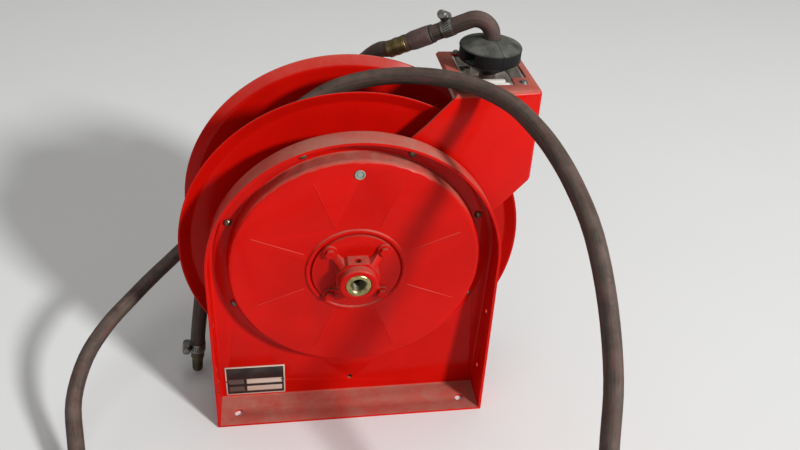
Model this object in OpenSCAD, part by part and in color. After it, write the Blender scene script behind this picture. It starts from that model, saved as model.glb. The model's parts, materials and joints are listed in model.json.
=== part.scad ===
// Spring-rewind hose reel with a guide arm and a free hose.
// X runs along the frame plate, Y away from its front, Z up. The reel axis is parallel to Y.
// The origin is the centre of the four mounting holes, on the ground and under the reel axis.
// Every piece but the free hose is drawn from the front surface of the frame plate, at Y = 0,
// and on_ground() then moves it to the origin's own place.

/* [Frame] */
// Height of the reel axis above the ground
axis_height = 211; // [205:1:260]
// Half of the frame's width, and the outer radius of its arch
frame_half_width = 160; // [158:1:190]
// Sheet thickness of the frame
frame_sheet = 3; // [2:0.5:5]
// Depth of the flange at the arch
arch_flange_depth = 25; // [16:1:40]
// Depth of the base flange and of the side flanges at the ground
base_flange_depth = 45; // [35:1:70]
// Outer radius of the frame's bends
frame_bend = 5.5; // [5:0.5:9]
// Diameter of the four mounting holes in the base
mount_hole = 10.5; // [6:0.5:13]
// Distance of the mounting holes from the frame's sides
mount_inset = 24; // [20:1:50]
// Distance from the front to the rear mounting holes
mount_spacing_y = 114; // [90:1:120]
// Distance of the front mounting holes in front of the plate
mount_front = 27; // [18:1:32]
// Diameter of the holes in the side flanges
side_hole = 6; // [3:0.5:9]
// Heights of the lower and upper side hole
side_hole_low = 47; // [30:1:60]
side_hole_high = 136; // [90:1:170]
// Distance of the side holes in front of the plate
side_hole_front = 14.4; // [10:0.2:15]
// Diameter and height of the small hole in the plate
plate_hole = 6.5; // [3:0.5:10]
plate_hole_height = 25; // [18:1:40]
// Length of the rear foot behind the plate
foot_length = 112; // [105:1:150]
// Distance from the frame's sides in to the ends of the rear foot
foot_inset = 10; // [5:1:14]

/* [Spring case] */
// Distance from the arch's outer face in to the cover's screwed edge
cover_margin = 8.5; // [8:0.5:11]
// Width of the cover's screwed edge
cover_border = 14.5; // [13.5:0.5:15]
// How far the cover's face stands in front of the plate
cover_depth = 20.7; // [20.2:0.1:30]
// Sheet thickness of the cover
cover_sheet = 1.5; // [1:0.1:2]
// Radius of the rounded edge of the cover's face
cover_round = 5; // [3:0.5:8]
// Distance from the cover's screwed edge in to the case screws
case_screw_inset = 6.8; // [6:0.1:8]
// Number of case screws
case_screw_count = 8; // [8:8:8]
// Shank diameter of the case screws
case_screw = 5; // [3:0.1:6]
// Outer radius of the ring pressed in the cover round the hub
ring_radius = 55.2; // [55:0.1:58]
// Number of creases in the cover's face
crease_count = 8; // [4:1:12]
// Distance from the cover's outer wall in to the plug
plug_inset = 15.5; // [13:0.5:24]
// Diameter of the plug's head
plug_head = 11; // [9:0.5:14]
// Width of the power spring's strip
spring_width = 12.5; // [8:0.5:12.5]
// Thickness of the power spring's strip
spring_strip = 0.9; // [0.5:0.1:1.2]
// Turns of the power spring that lie against the case
spring_turns = 7; // [4:1:8]

/* [Hub] */
// Radius of the hub casting's flange
hub_radius = 48; // [47:0.5:48.5]
// How far the nose of the hub stands in front of the plate
hub_reach = 48; // [44:0.5:55]
// Radius of the hub's nose
nose_radius = 20.5; // [19:0.5:22]
// Height of the flat pad above the axis
pad_height = 22; // [20.5:0.5:26]
// Radius of the circle of hub bolts
hub_bolt_circle = 41; // [40:0.5:41]
// Shank diameter of the hub bolts
hub_bolt = 6; // [4:0.5:8]
// Diameter of the set screw
set_screw_size = 7; // [4:0.5:8]

/* [Shaft and arbor] */
// Diameter of the fixed shaft
shaft_size = 28.6; // [26:0.1:29]
// Radial running clearance between the shaft and its bushings
shaft_clearance = 0.05; // [0.02:0.01:0.09]
// Diameter of the threaded inlet port
port_size = 16; // [14:0.1:17]
// Depth of the threaded inlet port
port_depth = 20; // [14:1:25]
// Wall thickness of the bushings
bushing_wall = 2.6; // [2:0.1:2.8]
// Outer diameter of the arbor
arbor_size = 40; // [39.6:0.1:40.4]
// Radius of the arbor's flanges
arbor_flange = 48; // [46:0.5:52]
// Wall of the bearing in the frame plate
bearing_wall = 4; // [3:0.1:5]

/* [Spool] */
// Outer radius of both discs
disc_radius = 190.5; // [189:0.5:192]
// Sheet thickness of the discs
disc_sheet = 1.6; // [1.2:0.1:2]
// Place of the front disc's flat along Y
front_disc_y = 29; // [28.5:0.1:30]
// Clear width between the discs' flats
spool_width = 78.8; // [76:0.1:82]
// How far the rims flare outwards
rim_flare = 6; // [2:0.5:6]
// Radial width of the flared rims
rim_band = 12; // [8:0.5:16]
// Outer radius of the drum
drum_radius = 73.5; // [70:0.1:73.5]
// Wall thickness of the drum
drum_wall = 1.6; // [1.2:0.1:3]
// Radius of the circle of disc bolts
disc_bolt_circle = 38; // [36:0.5:38]
// Shank diameter of the disc bolts
disc_bolt = 6; // [5:0.5:7]

/* [Hose] */
// Outer diameter of both hoses
hose_size = 17.5; // [16:0.1:17.5]
// Inner diameter of both hoses
hose_bore = 9.6; // [8:0.1:10]
// Layers of hose wound on the drum
hose_layers = 4; // [2:1:4]
// Distance between two layers
layer_step = 15.1; // [14:0.1:15.1]

/* [Guide arm] */
// Width of the arm across its own direction
arm_width = 133; // [130:1:136]
// Height of the arm's top face above the discs
arm_rise = 2.5; // [1:0.5:6]
// How far the arm's outer side lies inside the discs' rims
arm_side_inset = 1; // [0.5:0.5:2]
// Angle by which the arm's front leans back past the frame plate
arm_lean = 7.5; // [5:0.5:8.5]
// How far the arm's rear edge stands behind the discs
arm_overhang = 7; // [6:0.5:12]
// Sheet thickness of the arm
arm_sheet = 3; // [2:0.5:3]

/* [Rollers] */
// Radius of the four rollers
roller_radius = 8.5; // [7:0.1:8.6]
// Distance between the axes of the two long rollers
roller_pitch_x = 46; // [45:0.5:47]
// Distance between the axes of the two short rollers
roller_pitch_y = 50.6; // [50:0.1:51.6]
// Diameter of the roller pins
pin_size = 5; // [3:0.1:5]
// Radial running clearance of the rollers on their pins
pin_clearance = 0.06; // [0.02:0.01:0.09]

/* [Hose stop] */
// Outer radius of the hose stop
bumper_radius = 33.4; // [30:0.1:34]
// Height of the stop's side wall
bumper_wall = 16; // [15:0.5:20]
// Height of the cone above the wall
bumper_cone_top = 6.5; // [4:0.5:9]
// Height of the cone below the wall
bumper_cone_low = 14; // [8:0.5:14]
// Height of the stop's lower end above the arm's top face
bumper_lift = -5; // [-6:0.1:0]
// Gap between the two halves
bumper_gap = 0.3; // [0.2:0.1:1.5]
// Turn of the split round the hose
bumper_turn = 10; // [0:1:20]

/* [Latch] */
// Outer radius of the ratchet ring
ratchet_radius = 60; // [58:0.5:60]
// Number of notches in the ratchet ring
notch_count = 4; // [4:4:8]
// Distance of the pawl's pin below the reel axis
pawl_offset = 85; // [84.5:0.5:87]
// Diameter of the pawl's pin
pawl_pin_size = 8; // [6:0.5:8]
// Tangential width of the notches
notch_width = 17; // [16:0.5:20]

/* [Hidden] */
$fn = 96;
cut = 0.5;                 // how far a cutting tool runs past a surface
gap = 0.3;                 // gap between a soft piece and what it lies on
join = 0.2;                // how far a joined piece runs into its neighbour
fit = 0.02;                // radial gap of pieces that are pressed or screwed together
bolt_play = 0.2;           // radial gap of a bolt in the sheets that it holds

hose_radius = hose_size / 2;
shaft_radius = shaft_size / 2;
bushing_in = shaft_radius + shaft_clearance;
bushing_out = bushing_in + bushing_wall;
arbor_in = bushing_out + fit;
arbor_radius = arbor_size / 2;
bearing_in = arbor_radius + 0.06;
bearing_out = bearing_in + bearing_wall;

cover_edge = frame_half_width - cover_margin;
cover_radius = cover_edge - cover_border;
case_screw_circle = cover_edge - case_screw_inset;
plug_offset = cover_radius - plug_inset;
mount_spacing_x = 2 * (frame_half_width - mount_inset);
foot_width = 2 * (frame_half_width - foot_inset);
foot_upstand = 16;

// Place of the frame plate's front surface, seen from the origin
plate_y = mount_front - mount_spacing_y / 2;

// Places along Y, from the front to the rear
cover_face = -cover_depth;
cover_inner = cover_face + cover_sheet;
backing_thick = 4;
backing_face = cover_inner + backing_thick;
arbor_front = backing_face - 0.6;
spring_front = -(spring_width + 1.8);
disc_back = front_disc_y + disc_sheet;
rear_disc_y = disc_back + spool_width;
rear_disc_back = rear_disc_y + disc_sheet;
spool_mid = disc_back + spool_width / 2;
arbor_rear = rear_disc_back + 1;
washer_thick = 1.5;
nut_thick = 10;
shaft_rear = arbor_rear + gap + washer_thick + nut_thick + 3;

// Bolted flanges
arbor_flange_thick = 3;
disc_bolt_head = 3;
disc_nut_thick = 4.8;
disc_bolt_flats = 9.6;
ratchet_thick = 7;
ratchet_face = front_disc_y - ratchet_thick;
notch_depth = 8;
bolt_angles = [45, 135, 225, 315];

// Case screws
case_angles = [for (i = [0 : case_screw_count - 1]) 360 / case_screw_count * (i + 0.5)];
arm_angles = [for (a = case_angles) if (a < 90) a];
case_head = 8.4;
case_nut_flats = 8;
case_nut_thick = 4;

// Roller window, centred on the hose that runs up through it
arm_top = axis_height + disc_radius + arm_rise;
arm_side = disc_radius - arm_side_inset;
arm_rear = rear_disc_back + arm_overhang;
lead_x = arm_side - 43.5;
lead_y = spool_mid + 9;
roller_mid_x = lead_x + 0.5;
roller_mid_y = lead_y - 0.5;
short_axis_z = arm_top - arm_sheet - roller_radius - 1;
long_axis_z = short_axis_z - roller_radius - pin_size / 2 - 0.5;
long_length = 68.4;
long_half_gap = roller_pitch_x / 2;
short_length = roller_pitch_x - 2 * roller_radius - 1.4;
bracket_wall_x = 5.4;
bracket_wall_y = 5.5;
bracket_left = roller_mid_x - long_half_gap - roller_radius - gap - bracket_wall_x;
bracket_right = roller_mid_x + long_half_gap + roller_radius + gap + bracket_wall_x;
bracket_front = roller_mid_y - long_length / 2 - gap - bracket_wall_y;
bracket_rear = roller_mid_y + long_length / 2 + gap + bracket_wall_y;
bracket_top = arm_top - arm_sheet;
bracket_low = long_axis_z - roller_radius - 2;
ledge_depth = 8;

// Arm outline, in its own direction from the hub
arm_turn = 45;
arm_tab_start = frame_half_width - 36;
arm_tab_end = frame_half_width + 3;
arm_reach = 2 * disc_radius;

// Hose stop
bumper_base = arm_top + bumper_lift;
bumper_wall_z = bumper_base + bumper_cone_low;
bumper_top_z = bumper_wall_z + bumper_wall;
bumper_bolt_offset = 14;
bumper_bolt_z = bumper_wall_z + bumper_wall / 2;
bumper_bolt = 5;
bumper_pocket = 9;
bumper_block = 2 * bumper_radius + 2;

// Reel hose above the stop
tail_turn = 157.7;
tail_bend = 17;
tail_angle = 118.5;
tail_start_z = arm_top + 32.3;
tail_straight = 42;
tail_s = tail_bend * (1 - cos(tail_angle));
tail_z = tail_start_z + tail_bend * sin(tail_angle);
coupling_length = 3;
ferrule_length = 29;
clamp_width = 12.7;
clamp_centre = 25;
band_thick = 0.8;

// Latch
pawl_length = 32.2;
pawl_rest = 44;
pawl_engaged = 17;
pawl_thick = 5;
pawl_face = ratchet_face + 1;
pawl_back = pawl_face + pawl_thick;
spacer_wall = 2;
spring_wire = 1.6;

// Power spring
anchor_angle = 205;
anchor_radius = cover_radius - cover_sheet - 4.5;
anchor_pin = 5;
spring_outer = anchor_radius + 1.4;
spring_pitch = 5;
spring_inner = arbor_radius + 0.9;

// Free hose: from the ferrule, behind the reel, over the ground and the arm, to its own end
route = [
  [32, 102, 398], [5, 121, 364], [-30, 144, 319], [-68, 158, 270], [-103, 162, 224],
  [-136, 160, 182], [-168, 150, 147], [-197, 133, 122], [-220, 111, 110], [-242, 82, 104],
  [-264, 49, 98], [-286, 12, 92], [-304, -29, 81], [-312, -74, 62], [-306, -115, 42],
  [-297, -154, 23], [-285, -193, 12], [-269, -243, 9], [-250, -296, 9], [-220, -355, 9],
  [-180, -415, 9], [-115, -455, 9], [-40, -473, 9], [30, -470, 11], [85, -458, 22],
  [125, -435, 46], [152, -405, 80], [172, -370, 124], [186, -335, 170], [194, -300, 214],
  [199, -270, 256], [196, -233, 308], [187, -195, 355], [176, -157, 383], [163, -124, 402],
  [153, -90, 409], [142, -62, 413], [126, -36, 414], [106, -15, 414], [79, 6, 411],
  [45, 25, 404], [8, 36, 394], [-28, 40, 379], [-66, 40, 351], [-100, 40, 320],
  [-129, 40, 286], [-149, 40, 244], [-162, 38, 198], [-170, 34, 152], [-177, 30, 108],
  [-183, 25, 70], [-186, 22, 45], [-187, 21, 33]
];
end_point = route[len(route) - 1];
end_way = unit(end_point - route[len(route) - 2]);

red = [0.78, 0.09, 0.06];
zinc = [0.72, 0.72, 0.70];
hose_colour = [0.28, 0.23, 0.24];

// ---------------------------------------------------------------- helpers
function unit(v) = v / norm(v);
function total(v, i = 0) = i < len(v) ? v[i] + total(v, i + 1) : 0;
function arc(centre, r, a0, a1, n = 8) =
  [for (i = [0 : n]) centre + r * [cos(a0 + (a1 - a0) * i / n), sin(a0 + (a1 - a0) * i / n)]];

// Moves a shape drawn from the frame plate to the origin's own place
module on_ground() { translate([0, plate_y, 0]) children(); }
// Puts a shape drawn round its own Z axis on the reel axis, its Z running along +Y
module on_axis(y = 0) { translate([0, y, axis_height]) rotate([-90, 0, 0]) children(); }
// Places children on a circle round the reel axis, at an angle from +X towards +Z
module at_polar(r, angle, y = 0) {
  translate([r * cos(angle), y, axis_height + r * sin(angle)]) children();
}
// A disc or tube along Y between two places
module disc_y(r, y0, y1) { translate([0, y0, 0]) rotate([-90, 0, 0]) cylinder(r = r, h = y1 - y0); }
module hex_y(flats, y0, y1) {
  translate([0, y0, 0]) rotate([-90, 0, 0]) cylinder(r = flats / sqrt(3), h = y1 - y0, $fn = 6);
}
// A shape drawn in X and Z, from y0 to y1
module sheet_xz(y0, y1) {
  translate([0, y1, 0]) rotate([90, 0, 0]) linear_extrude(y1 - y0) children();
}
module ring(r_out, r_in, h) {
  difference() { cylinder(r = r_out, h = h); translate([0, 0, -cut]) cylinder(r = r_in, h = h + 2 * cut); }
}
module tube_y(r_out, r_in, y0, y1) {
  on_axis(y0) ring(r_out, r_in, y1 - y0);
}
// Stands a shape drawn along its own Z at a point, with Z along a direction
module along(point, way) {
  translate(point) rotate([0, acos(way[2]), atan2(way[1], way[0])]) children();
}

// ---------------------------------------------------------------- frame
frame_inner_bend = frame_bend - frame_sheet;
frame_web = frame_half_width - frame_bend;

// Section of the plate's edge with its flange: radius and place along Y
function flange_section(outer, depth) = concat(
  [[outer, -depth]],
  arc([outer - frame_bend, frame_sheet - frame_bend], frame_bend, 0, 90),
  [[outer - frame_bend - 4, frame_sheet], [outer - frame_bend - 4, 0]],
  arc([outer - frame_bend, frame_sheet - frame_bend], frame_inner_bend, 90, 0),
  [[outer - frame_sheet, -depth]]
);

module side_flange() {
  difference() {
    translate([0, 0, frame_sheet / 2]) linear_extrude(axis_height - frame_sheet / 2)
      polygon(flange_section(frame_half_width, base_flange_depth));
    // the flange narrows from the ground to the arch
    rotate([90, 0, 90]) translate([0, 0, frame_web - cut]) linear_extrude(frame_bend + 2 * cut)
      polygon([[-base_flange_depth - cut, axis_height + cut], [-arch_flange_depth, axis_height + cut],
        [-arch_flange_depth, axis_height], [-base_flange_depth, frame_sheet],
        [-base_flange_depth - cut, frame_sheet]]);
    for (z = [side_hole_low, side_hole_high])
      translate([frame_web - cut, -side_hole_front, z]) rotate([0, 90, 0])
        cylinder(d = side_hole, h = frame_bend + 2 * cut);
  }
}

module base_flange() {
  // bend and flange along the ground
  translate([-frame_half_width, 0, 0]) rotate([90, 0, 90]) linear_extrude(2 * frame_half_width)
    polygon(concat(
      [[-base_flange_depth, 0]],
      arc([frame_sheet - frame_bend, frame_bend], frame_bend, -90, 0),
      [[frame_sheet, frame_bend + 4], [0, frame_bend + 4]],
      arc([frame_sheet - frame_bend, frame_bend], frame_inner_bend, 0, -90),
      [[-base_flange_depth, frame_sheet]]));
}

module frame_plate() color(red) difference() {
  union() {
    sheet_xz(0, frame_sheet) difference() {
      union() {
        translate([0, axis_height]) circle(r = frame_web);
        translate([-frame_web, frame_bend]) square([2 * frame_web, axis_height - frame_bend]);
      }
      translate([0, axis_height]) circle(r = bearing_out + fit);
    }
    on_axis() rotate([0, 0, 180]) rotate_extrude(angle = 180)
      polygon(flange_section(frame_half_width, arch_flange_depth));
    side_flange();
    mirror([1, 0, 0]) side_flange();
    base_flange();
  }
  for (a = case_angles) at_polar(case_screw_circle, a)
    disc_y(case_screw / 2 + bolt_play, -cut, frame_sheet + cut);
  at_polar(anchor_radius, anchor_angle) disc_y(anchor_pin / 2 + fit, -cut, frame_sheet + cut);
  at_polar(pawl_offset, 270) disc_y(pawl_pin_size / 2 + fit, -cut, frame_sheet + cut);
  translate([0, 0, plate_hole_height]) disc_y(plate_hole / 2, -cut, frame_sheet + cut);
  for (x = [-mount_spacing_x / 2, mount_spacing_x / 2]) translate([x, -mount_front, -cut])
    cylinder(d = mount_hole, h = frame_sheet + 2 * cut);
  for (r = rivet_places) translate([r[0], 0, r[1]]) disc_y(rivet_size / 2 + fit, -cut, frame_sheet + cut);
}

module rear_foot() color(red) difference() {
  union() {
    translate([-foot_width / 2, frame_sheet, 0]) cube([foot_width, foot_length, frame_sheet]);
    translate([-foot_width / 2, frame_sheet, 0]) cube([foot_width, frame_sheet, foot_upstand]);
  }
  for (x = [-mount_spacing_x / 2, mount_spacing_x / 2])
    translate([x, mount_spacing_y - mount_front, -cut]) cylinder(d = mount_hole, h = frame_sheet + 2 * cut);
}

// ---------------------------------------------------------------- spring case
ring_bead = 3;
module case_cover() color(red) {
  flange_in = -cover_sheet;
  difference() {
    union() {
      on_axis() rotate_extrude() polygon(concat(
        [[cover_edge, 0], [cover_edge, flange_in], [cover_radius + 2, flange_in]],
        arc([cover_radius + 2, flange_in - 2], 2, 90, 180, 4),
        arc([cover_radius - cover_round, cover_face + cover_round], cover_round, 0, -90),
        [[shaft_radius + 3, cover_face], [shaft_radius + 3, cover_inner]],
        arc([cover_radius - cover_round, cover_face + cover_round], cover_round - cover_sheet, -90, 0),
        [[cover_radius - cover_sheet, 0]]));
      // ring pressed outwards round the hub
      on_axis() rotate_extrude()
        polygon(arc([ring_radius - ring_bead, cover_face + cut], ring_bead, 180, 360));
      for (i = [0 : crease_count - 1]) rotate_on_axis(360 / crease_count * (i + 0.5))
        translate([ring_radius + 6, cover_face + 0.55, 0]) rotate([0, 90, 0])
          cylinder(r = 1, h = cover_radius - cover_round - ring_radius - 18, $fn = 24);
    }
    for (a = case_angles) at_polar(case_screw_circle, a)
      disc_y(case_screw / 2 + bolt_play, -cover_sheet - cut, cut);
    for (a = bolt_angles) at_polar(hub_bolt_circle, a)
      disc_y(hub_bolt / 2 + bolt_play, cover_face - cut, cover_inner + cut);
    at_polar(plug_offset, 90) disc_y(plug_head / 2 - 1.5 + fit, cover_face - cut, cover_inner + cut);
  }
}
// Turns a shape drawn from the reel axis along +X up towards +Z
module rotate_on_axis(angle) { translate([0, 0, axis_height]) rotate([0, -angle, 0]) children(); }

case_screw_end = frame_sheet + arm_sheet + case_nut_thick + 1.5;
case_head_edge = 0.8;
case_head_rise = 2.8;
case_head_bend = (pow(case_head / 2, 2) + pow(case_head_rise, 2)) / (2 * case_head_rise);
case_head_top = case_head_edge + case_head_rise;
module case_screw_shape() {
  disc_y(case_screw / 2, -cover_sheet - 0.1, case_screw_end);
  translate([0, -cover_sheet, 0]) rotate([90, 0, 0]) difference() {
    rotate_extrude($fn = 32) polygon(concat([[0, 0], [case_head / 2, 0]],
      arc([0, case_head_top - case_head_bend], case_head_bend,
        asin(1 - case_head_rise / case_head_bend), 90, 6)));
    for (a = [0, 90]) rotate([0, 0, a]) translate([-2.5, -0.6, case_head_top - 1.6]) cube([5, 1.2, 2]);
  }
}
module case_screws() color(zinc) for (a = case_angles) at_polar(case_screw_circle, a) case_screw_shape();

module case_nuts() color(zinc) for (a = case_angles) {
  seat = frame_sheet + (a < 90 ? arm_sheet : 0);
  at_polar(case_screw_circle, a) difference() {
    hex_y(case_nut_flats, seat, seat + case_nut_thick);
    disc_y(case_screw / 2 + fit, seat - cut, seat + case_nut_thick + cut);
  }
}

module cover_plug() color([0.62, 0.66, 0.62]) at_polar(plug_offset, 90) {
  disc_y(plug_head / 2, cover_face - 1.4, cover_face);
  disc_y(plug_head / 2 - 1.5, cover_face - 0.1, cover_inner + 1.5);
}

plate_left = 9 - frame_half_width;
plate_low = 6;
plate_size = [71, 47];
plate_thick = 0.8;
rivet_size = 2.4;
rivet_inset = 2.6;
rivet_places = [for (x = [rivet_inset, plate_size[0] - rivet_inset])
  [plate_left + x, plate_low + plate_size[1] / 2]];
module maker_plate() color([0.1, 0.1, 0.1]) difference() {
  translate([plate_left, -plate_thick, plate_low]) cube([plate_size[0], plate_thick, plate_size[1]]);
  for (r = rivet_places) translate([r[0], 0, r[1]]) disc_y(rivet_size / 2 + fit, -plate_thick - cut, cut);
}
module plate_rivets() color(zinc) for (r = rivet_places) translate([r[0], 0, r[1]]) {
  disc_y(rivet_size / 2, -plate_thick - 0.1, frame_sheet);
  disc_y(rivet_size / 2 + 0.7, -plate_thick - 0.7, -plate_thick);
}

// Spiral strip: turns against the case, then one turn in to the arbor
spring_steps = 24;
function spring_radius(i, turns) = let (t = i / spring_steps)
  t <= turns ? spring_outer - spring_pitch * t
  : let (u = t - turns, edge = spring_outer - spring_pitch * turns)
    edge + (spring_inner + spring_strip / 2 - edge) * u * u * (3 - 2 * u);
function spring_angle(i) = anchor_angle + 3 + 360 / spring_steps * i;
module power_spring() color([0.35, 0.36, 0.40]) {
  last = spring_steps * (spring_turns + 1);
  half = spring_strip / 2;
  edge = function (side) [for (i = [0 : last]) let (r = spring_radius(i, spring_turns) + side * half,
    a = spring_angle(i)) r * [cos(a), sin(a)]];
  outer = edge(1);
  inner = edge(-1);
  translate([0, 0, axis_height]) sheet_xz(spring_front, spring_front + spring_width)
    polygon(concat(outer, [for (i = [last : -1 : 0]) inner[i]]));
}
module spring_anchor_pin() color(zinc) at_polar(anchor_radius, anchor_angle) {
  disc_y(anchor_pin / 2, spring_front, frame_sheet + 0.1);
  disc_y(anchor_pin / 2 + 2, frame_sheet, frame_sheet + 2);
}

// ---------------------------------------------------------------- hub and shaft
module plate_bearing() color([0.70, 0.55, 0.30]) on_axis() difference() {
  union() {
    translate([0, 0, -0.8]) cylinder(r = bearing_out, h = frame_sheet + 6.8);
    translate([0, 0, frame_sheet]) cylinder(r = bearing_out + 5, h = 2.5);
  }
  translate([0, 0, -5]) cylinder(r = bearing_in, h = 20);
}

hub_flange_thick = 3;
hub_face = cover_face - hub_flange_thick;
hub_pad_front = -(hub_reach - 9);
hub_bolt_pad = 7.5;
hub_pad_face = hub_face - 3;
pad_half = 10.5;
module hub_casting() color(red) difference() {
  union() {
    on_axis(hub_face) cylinder(r = hub_radius, h = hub_flange_thick);
    on_axis(-hub_reach) {
      cylinder(r1 = nose_radius - 1.5, r2 = nose_radius, h = 1.5);
      translate([0, 0, 1.5]) cylinder(r = nose_radius, h = hub_reach + cover_face - 1.5);
    }
    translate([0, 0, axis_height]) sheet_xz(hub_pad_front, cover_face) polygon([
      [-pad_half, pad_height], [pad_half, pad_height], [nose_radius + 2.5, 7], [nose_radius + 2.5, -7],
      [pad_half, -nose_radius - 1.5], [-pad_half, -nose_radius - 1.5], [-nose_radius - 2.5, -7],
      [-nose_radius - 2.5, 7]]);
    for (a = bolt_angles) {
      at_polar(hub_bolt_circle, a) disc_y(hub_bolt_pad, hub_pad_face, cover_face);
      rotate_on_axis(a) translate([0, 0, -3.5]) linear_extrude(7) polygon([
        [shaft_radius + 4, cover_face], [shaft_radius + 4, hub_pad_front + 2],
        [nose_radius + 2, hub_pad_front + 2], [hub_bolt_circle - hub_bolt_pad + 2, hub_pad_face + 0.6],
        [hub_bolt_circle - hub_bolt_pad + 2, cover_face]]);
    }
  }
  on_axis(-hub_reach - cut) cylinder(r = shaft_radius + fit, h = hub_reach);
  for (a = bolt_angles) at_polar(hub_bolt_circle, a)
    disc_y(hub_bolt / 2 + bolt_play, hub_pad_face - cut, cover_face + cut);
  translate([0, -(hub_reach - 16), axis_height]) cylinder(d = set_screw_size + 2 * fit, h = pad_height + cut);
}
module hub_bolts() color(red) for (a = bolt_angles) at_polar(hub_bolt_circle, a) {
  hex_y(9.5, hub_pad_face - 4, hub_pad_face);
  disc_y(hub_bolt / 2, hub_pad_face - 0.1, backing_face);
}
module hub_backing_ring() color(zinc) difference() {
  tube_y(hub_bolt_circle + 9, arbor_radius + 4, cover_inner, backing_face);
  for (a = bolt_angles) at_polar(hub_bolt_circle, a)
    disc_y(hub_bolt / 2 + fit, cover_inner - cut, backing_face + cut);
}
module set_screw() color([0.2, 0.2, 0.2]) translate([0, -(hub_reach - 16), axis_height + shaft_radius + fit])
  difference() {
    cylinder(d = set_screw_size, h = pad_height - shaft_radius - 2.5);
    translate([0, 0, pad_height - shaft_radius - 5.5]) cylinder(r = set_screw_size / 4, h = 4, $fn = 6);
  }

shaft_edge = 1.4;
module main_shaft() color([0.72, 0.66, 0.40]) difference() {
  union() {
    on_axis(-hub_reach) cylinder(r1 = shaft_radius - shaft_edge, r2 = shaft_radius, h = shaft_edge);
    on_axis(shaft_edge - hub_reach) cylinder(r = shaft_radius, h = hub_reach + shaft_rear - shaft_edge);
  }
  on_axis(-hub_reach - cut) cylinder(d = port_size, h = port_depth + cut);
  on_axis(-hub_reach) cylinder(r = 5, h = hub_reach + spool_mid + 6);
  // the port's countersunk mouth
  on_axis(-hub_reach - 0.01) cylinder(d1 = port_size + 3, d2 = port_size, h = 1.5);
  translate([0, spool_mid, axis_height - shaft_radius - 1]) cylinder(r = 4, h = 2 * shaft_radius + 2);
}
module thrust_washer() color(zinc)
  tube_y(arbor_radius - 1, bushing_in, arbor_rear + gap, arbor_rear + gap + washer_thick);
module shaft_nut() color(zinc) difference() {
  on_axis(arbor_rear + gap + washer_thick) cylinder(r = 42 / sqrt(3), h = nut_thick, $fn = 6);
  on_axis(arbor_rear) cylinder(r = shaft_radius + fit, h = 30);
}

// ---------------------------------------------------------------- spool
elbow_out = 44;
elbow_reach = 24;
elbow_radius = 7;
elbow_cap = elbow_radius + 1.5;
module arbor() color(zinc) difference() {
  union() {
    on_axis(arbor_front) cylinder(r = arbor_radius, h = arbor_rear - arbor_front);
    on_axis(disc_back) cylinder(r = arbor_flange, h = arbor_flange_thick);
    on_axis(rear_disc_y - arbor_flange_thick) cylinder(r = arbor_flange, h = arbor_flange_thick);
  }
  on_axis(arbor_front - cut) cylinder(r = arbor_in, h = arbor_rear - arbor_front + 2 * cut);
  translate([0, spool_mid, axis_height]) cylinder(r = 5, h = arbor_radius + 2);
  for (a = bolt_angles) at_polar(disc_bolt_circle, a)
    disc_y(disc_bolt / 2 + bolt_play, disc_back - cut, rear_disc_y + cut);
}
module bushing(y) color([0.70, 0.55, 0.30]) tube_y(bushing_out, bushing_in, y, y + 15);
module front_bushing() bushing(arbor_front + 1);
module rear_bushing() bushing(arbor_rear - 16);
module shaft_seals() color([0.12, 0.12, 0.12]) for (side = [-1, 1]) on_axis(spool_mid + side * 12)
  rotate_extrude() translate([(bushing_in + arbor_in) / 2, 0]) circle(r = bushing_wall / 2, $fn = 32);

// Flat disc with its rim flared along Y by the given amount
module disc_shape(y, flare) color(red) difference() {
  on_axis(y) rotate_extrude($fn = 128) polygon([
    [arbor_radius + fit, 0], [disc_radius - rim_band, 0], [disc_radius, flare],
    [disc_radius, flare + disc_sheet], [disc_radius - rim_band, disc_sheet],
    [arbor_radius + fit, disc_sheet]]);
  for (a = bolt_angles) at_polar(disc_bolt_circle, a)
    disc_y(disc_bolt / 2 + bolt_play, y - cut, y + disc_sheet + cut);
}
module front_disc() disc_shape(front_disc_y, -rim_flare);
module rear_disc() disc_shape(rear_disc_y, rim_flare);

module drum_core() color(red) difference() {
  tube_y(drum_radius, drum_radius - drum_wall, disc_back, rear_disc_y);
  translate([0, spool_mid, axis_height + elbow_out]) rotate([0, 90, 0])
    cylinder(r = hose_radius + 0.6, h = drum_radius);
}
module disc_bolt_shape(y_head, y_tip) {
  away = y_head < y_tip ? 1 : -1;
  seat = y_head + away * disc_bolt_head;
  hex_y(disc_bolt_flats, min(y_head, seat), max(y_head, seat));
  disc_y(disc_bolt / 2, min(y_head + away, y_tip), max(y_head + away, y_tip));
}
nut_front = disc_back + arbor_flange_thick;
nut_rear = rear_disc_y - arbor_flange_thick;
module front_disc_bolts() color(zinc) for (a = bolt_angles) at_polar(disc_bolt_circle, a)
  disc_bolt_shape(ratchet_face - disc_bolt_head, nut_front + disc_nut_thick + 1);
module rear_disc_bolts() color(zinc) for (a = bolt_angles) at_polar(disc_bolt_circle, a)
  disc_bolt_shape(rear_disc_back + disc_bolt_head, nut_rear - disc_nut_thick - 1);
module disc_nuts() color(zinc) for (a = bolt_angles, y = [nut_front, nut_rear - disc_nut_thick])
  at_polar(disc_bolt_circle, a) difference() {
    hex_y(disc_bolt_flats, y, y + disc_nut_thick);
    disc_y(disc_bolt / 2 + fit, y - cut, y + disc_nut_thick + cut);
  }

module ratchet_ring() color([0.45, 0.45, 0.45]) difference() {
  tube_y(ratchet_radius, arbor_radius + fit, ratchet_face, front_disc_y);
  for (i = [0 : notch_count - 1]) rotate_on_axis(270 + notch_offset + 360 / notch_count * i)
    translate([ratchet_radius - notch_depth, ratchet_face - cut, -notch_width / 2])
      cube([2 * notch_depth, ratchet_thick + 2 * cut, notch_width]);
  for (a = bolt_angles) at_polar(disc_bolt_circle, a)
    disc_y(disc_bolt / 2 + bolt_play, ratchet_face - cut, front_disc_y + cut);
}

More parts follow.
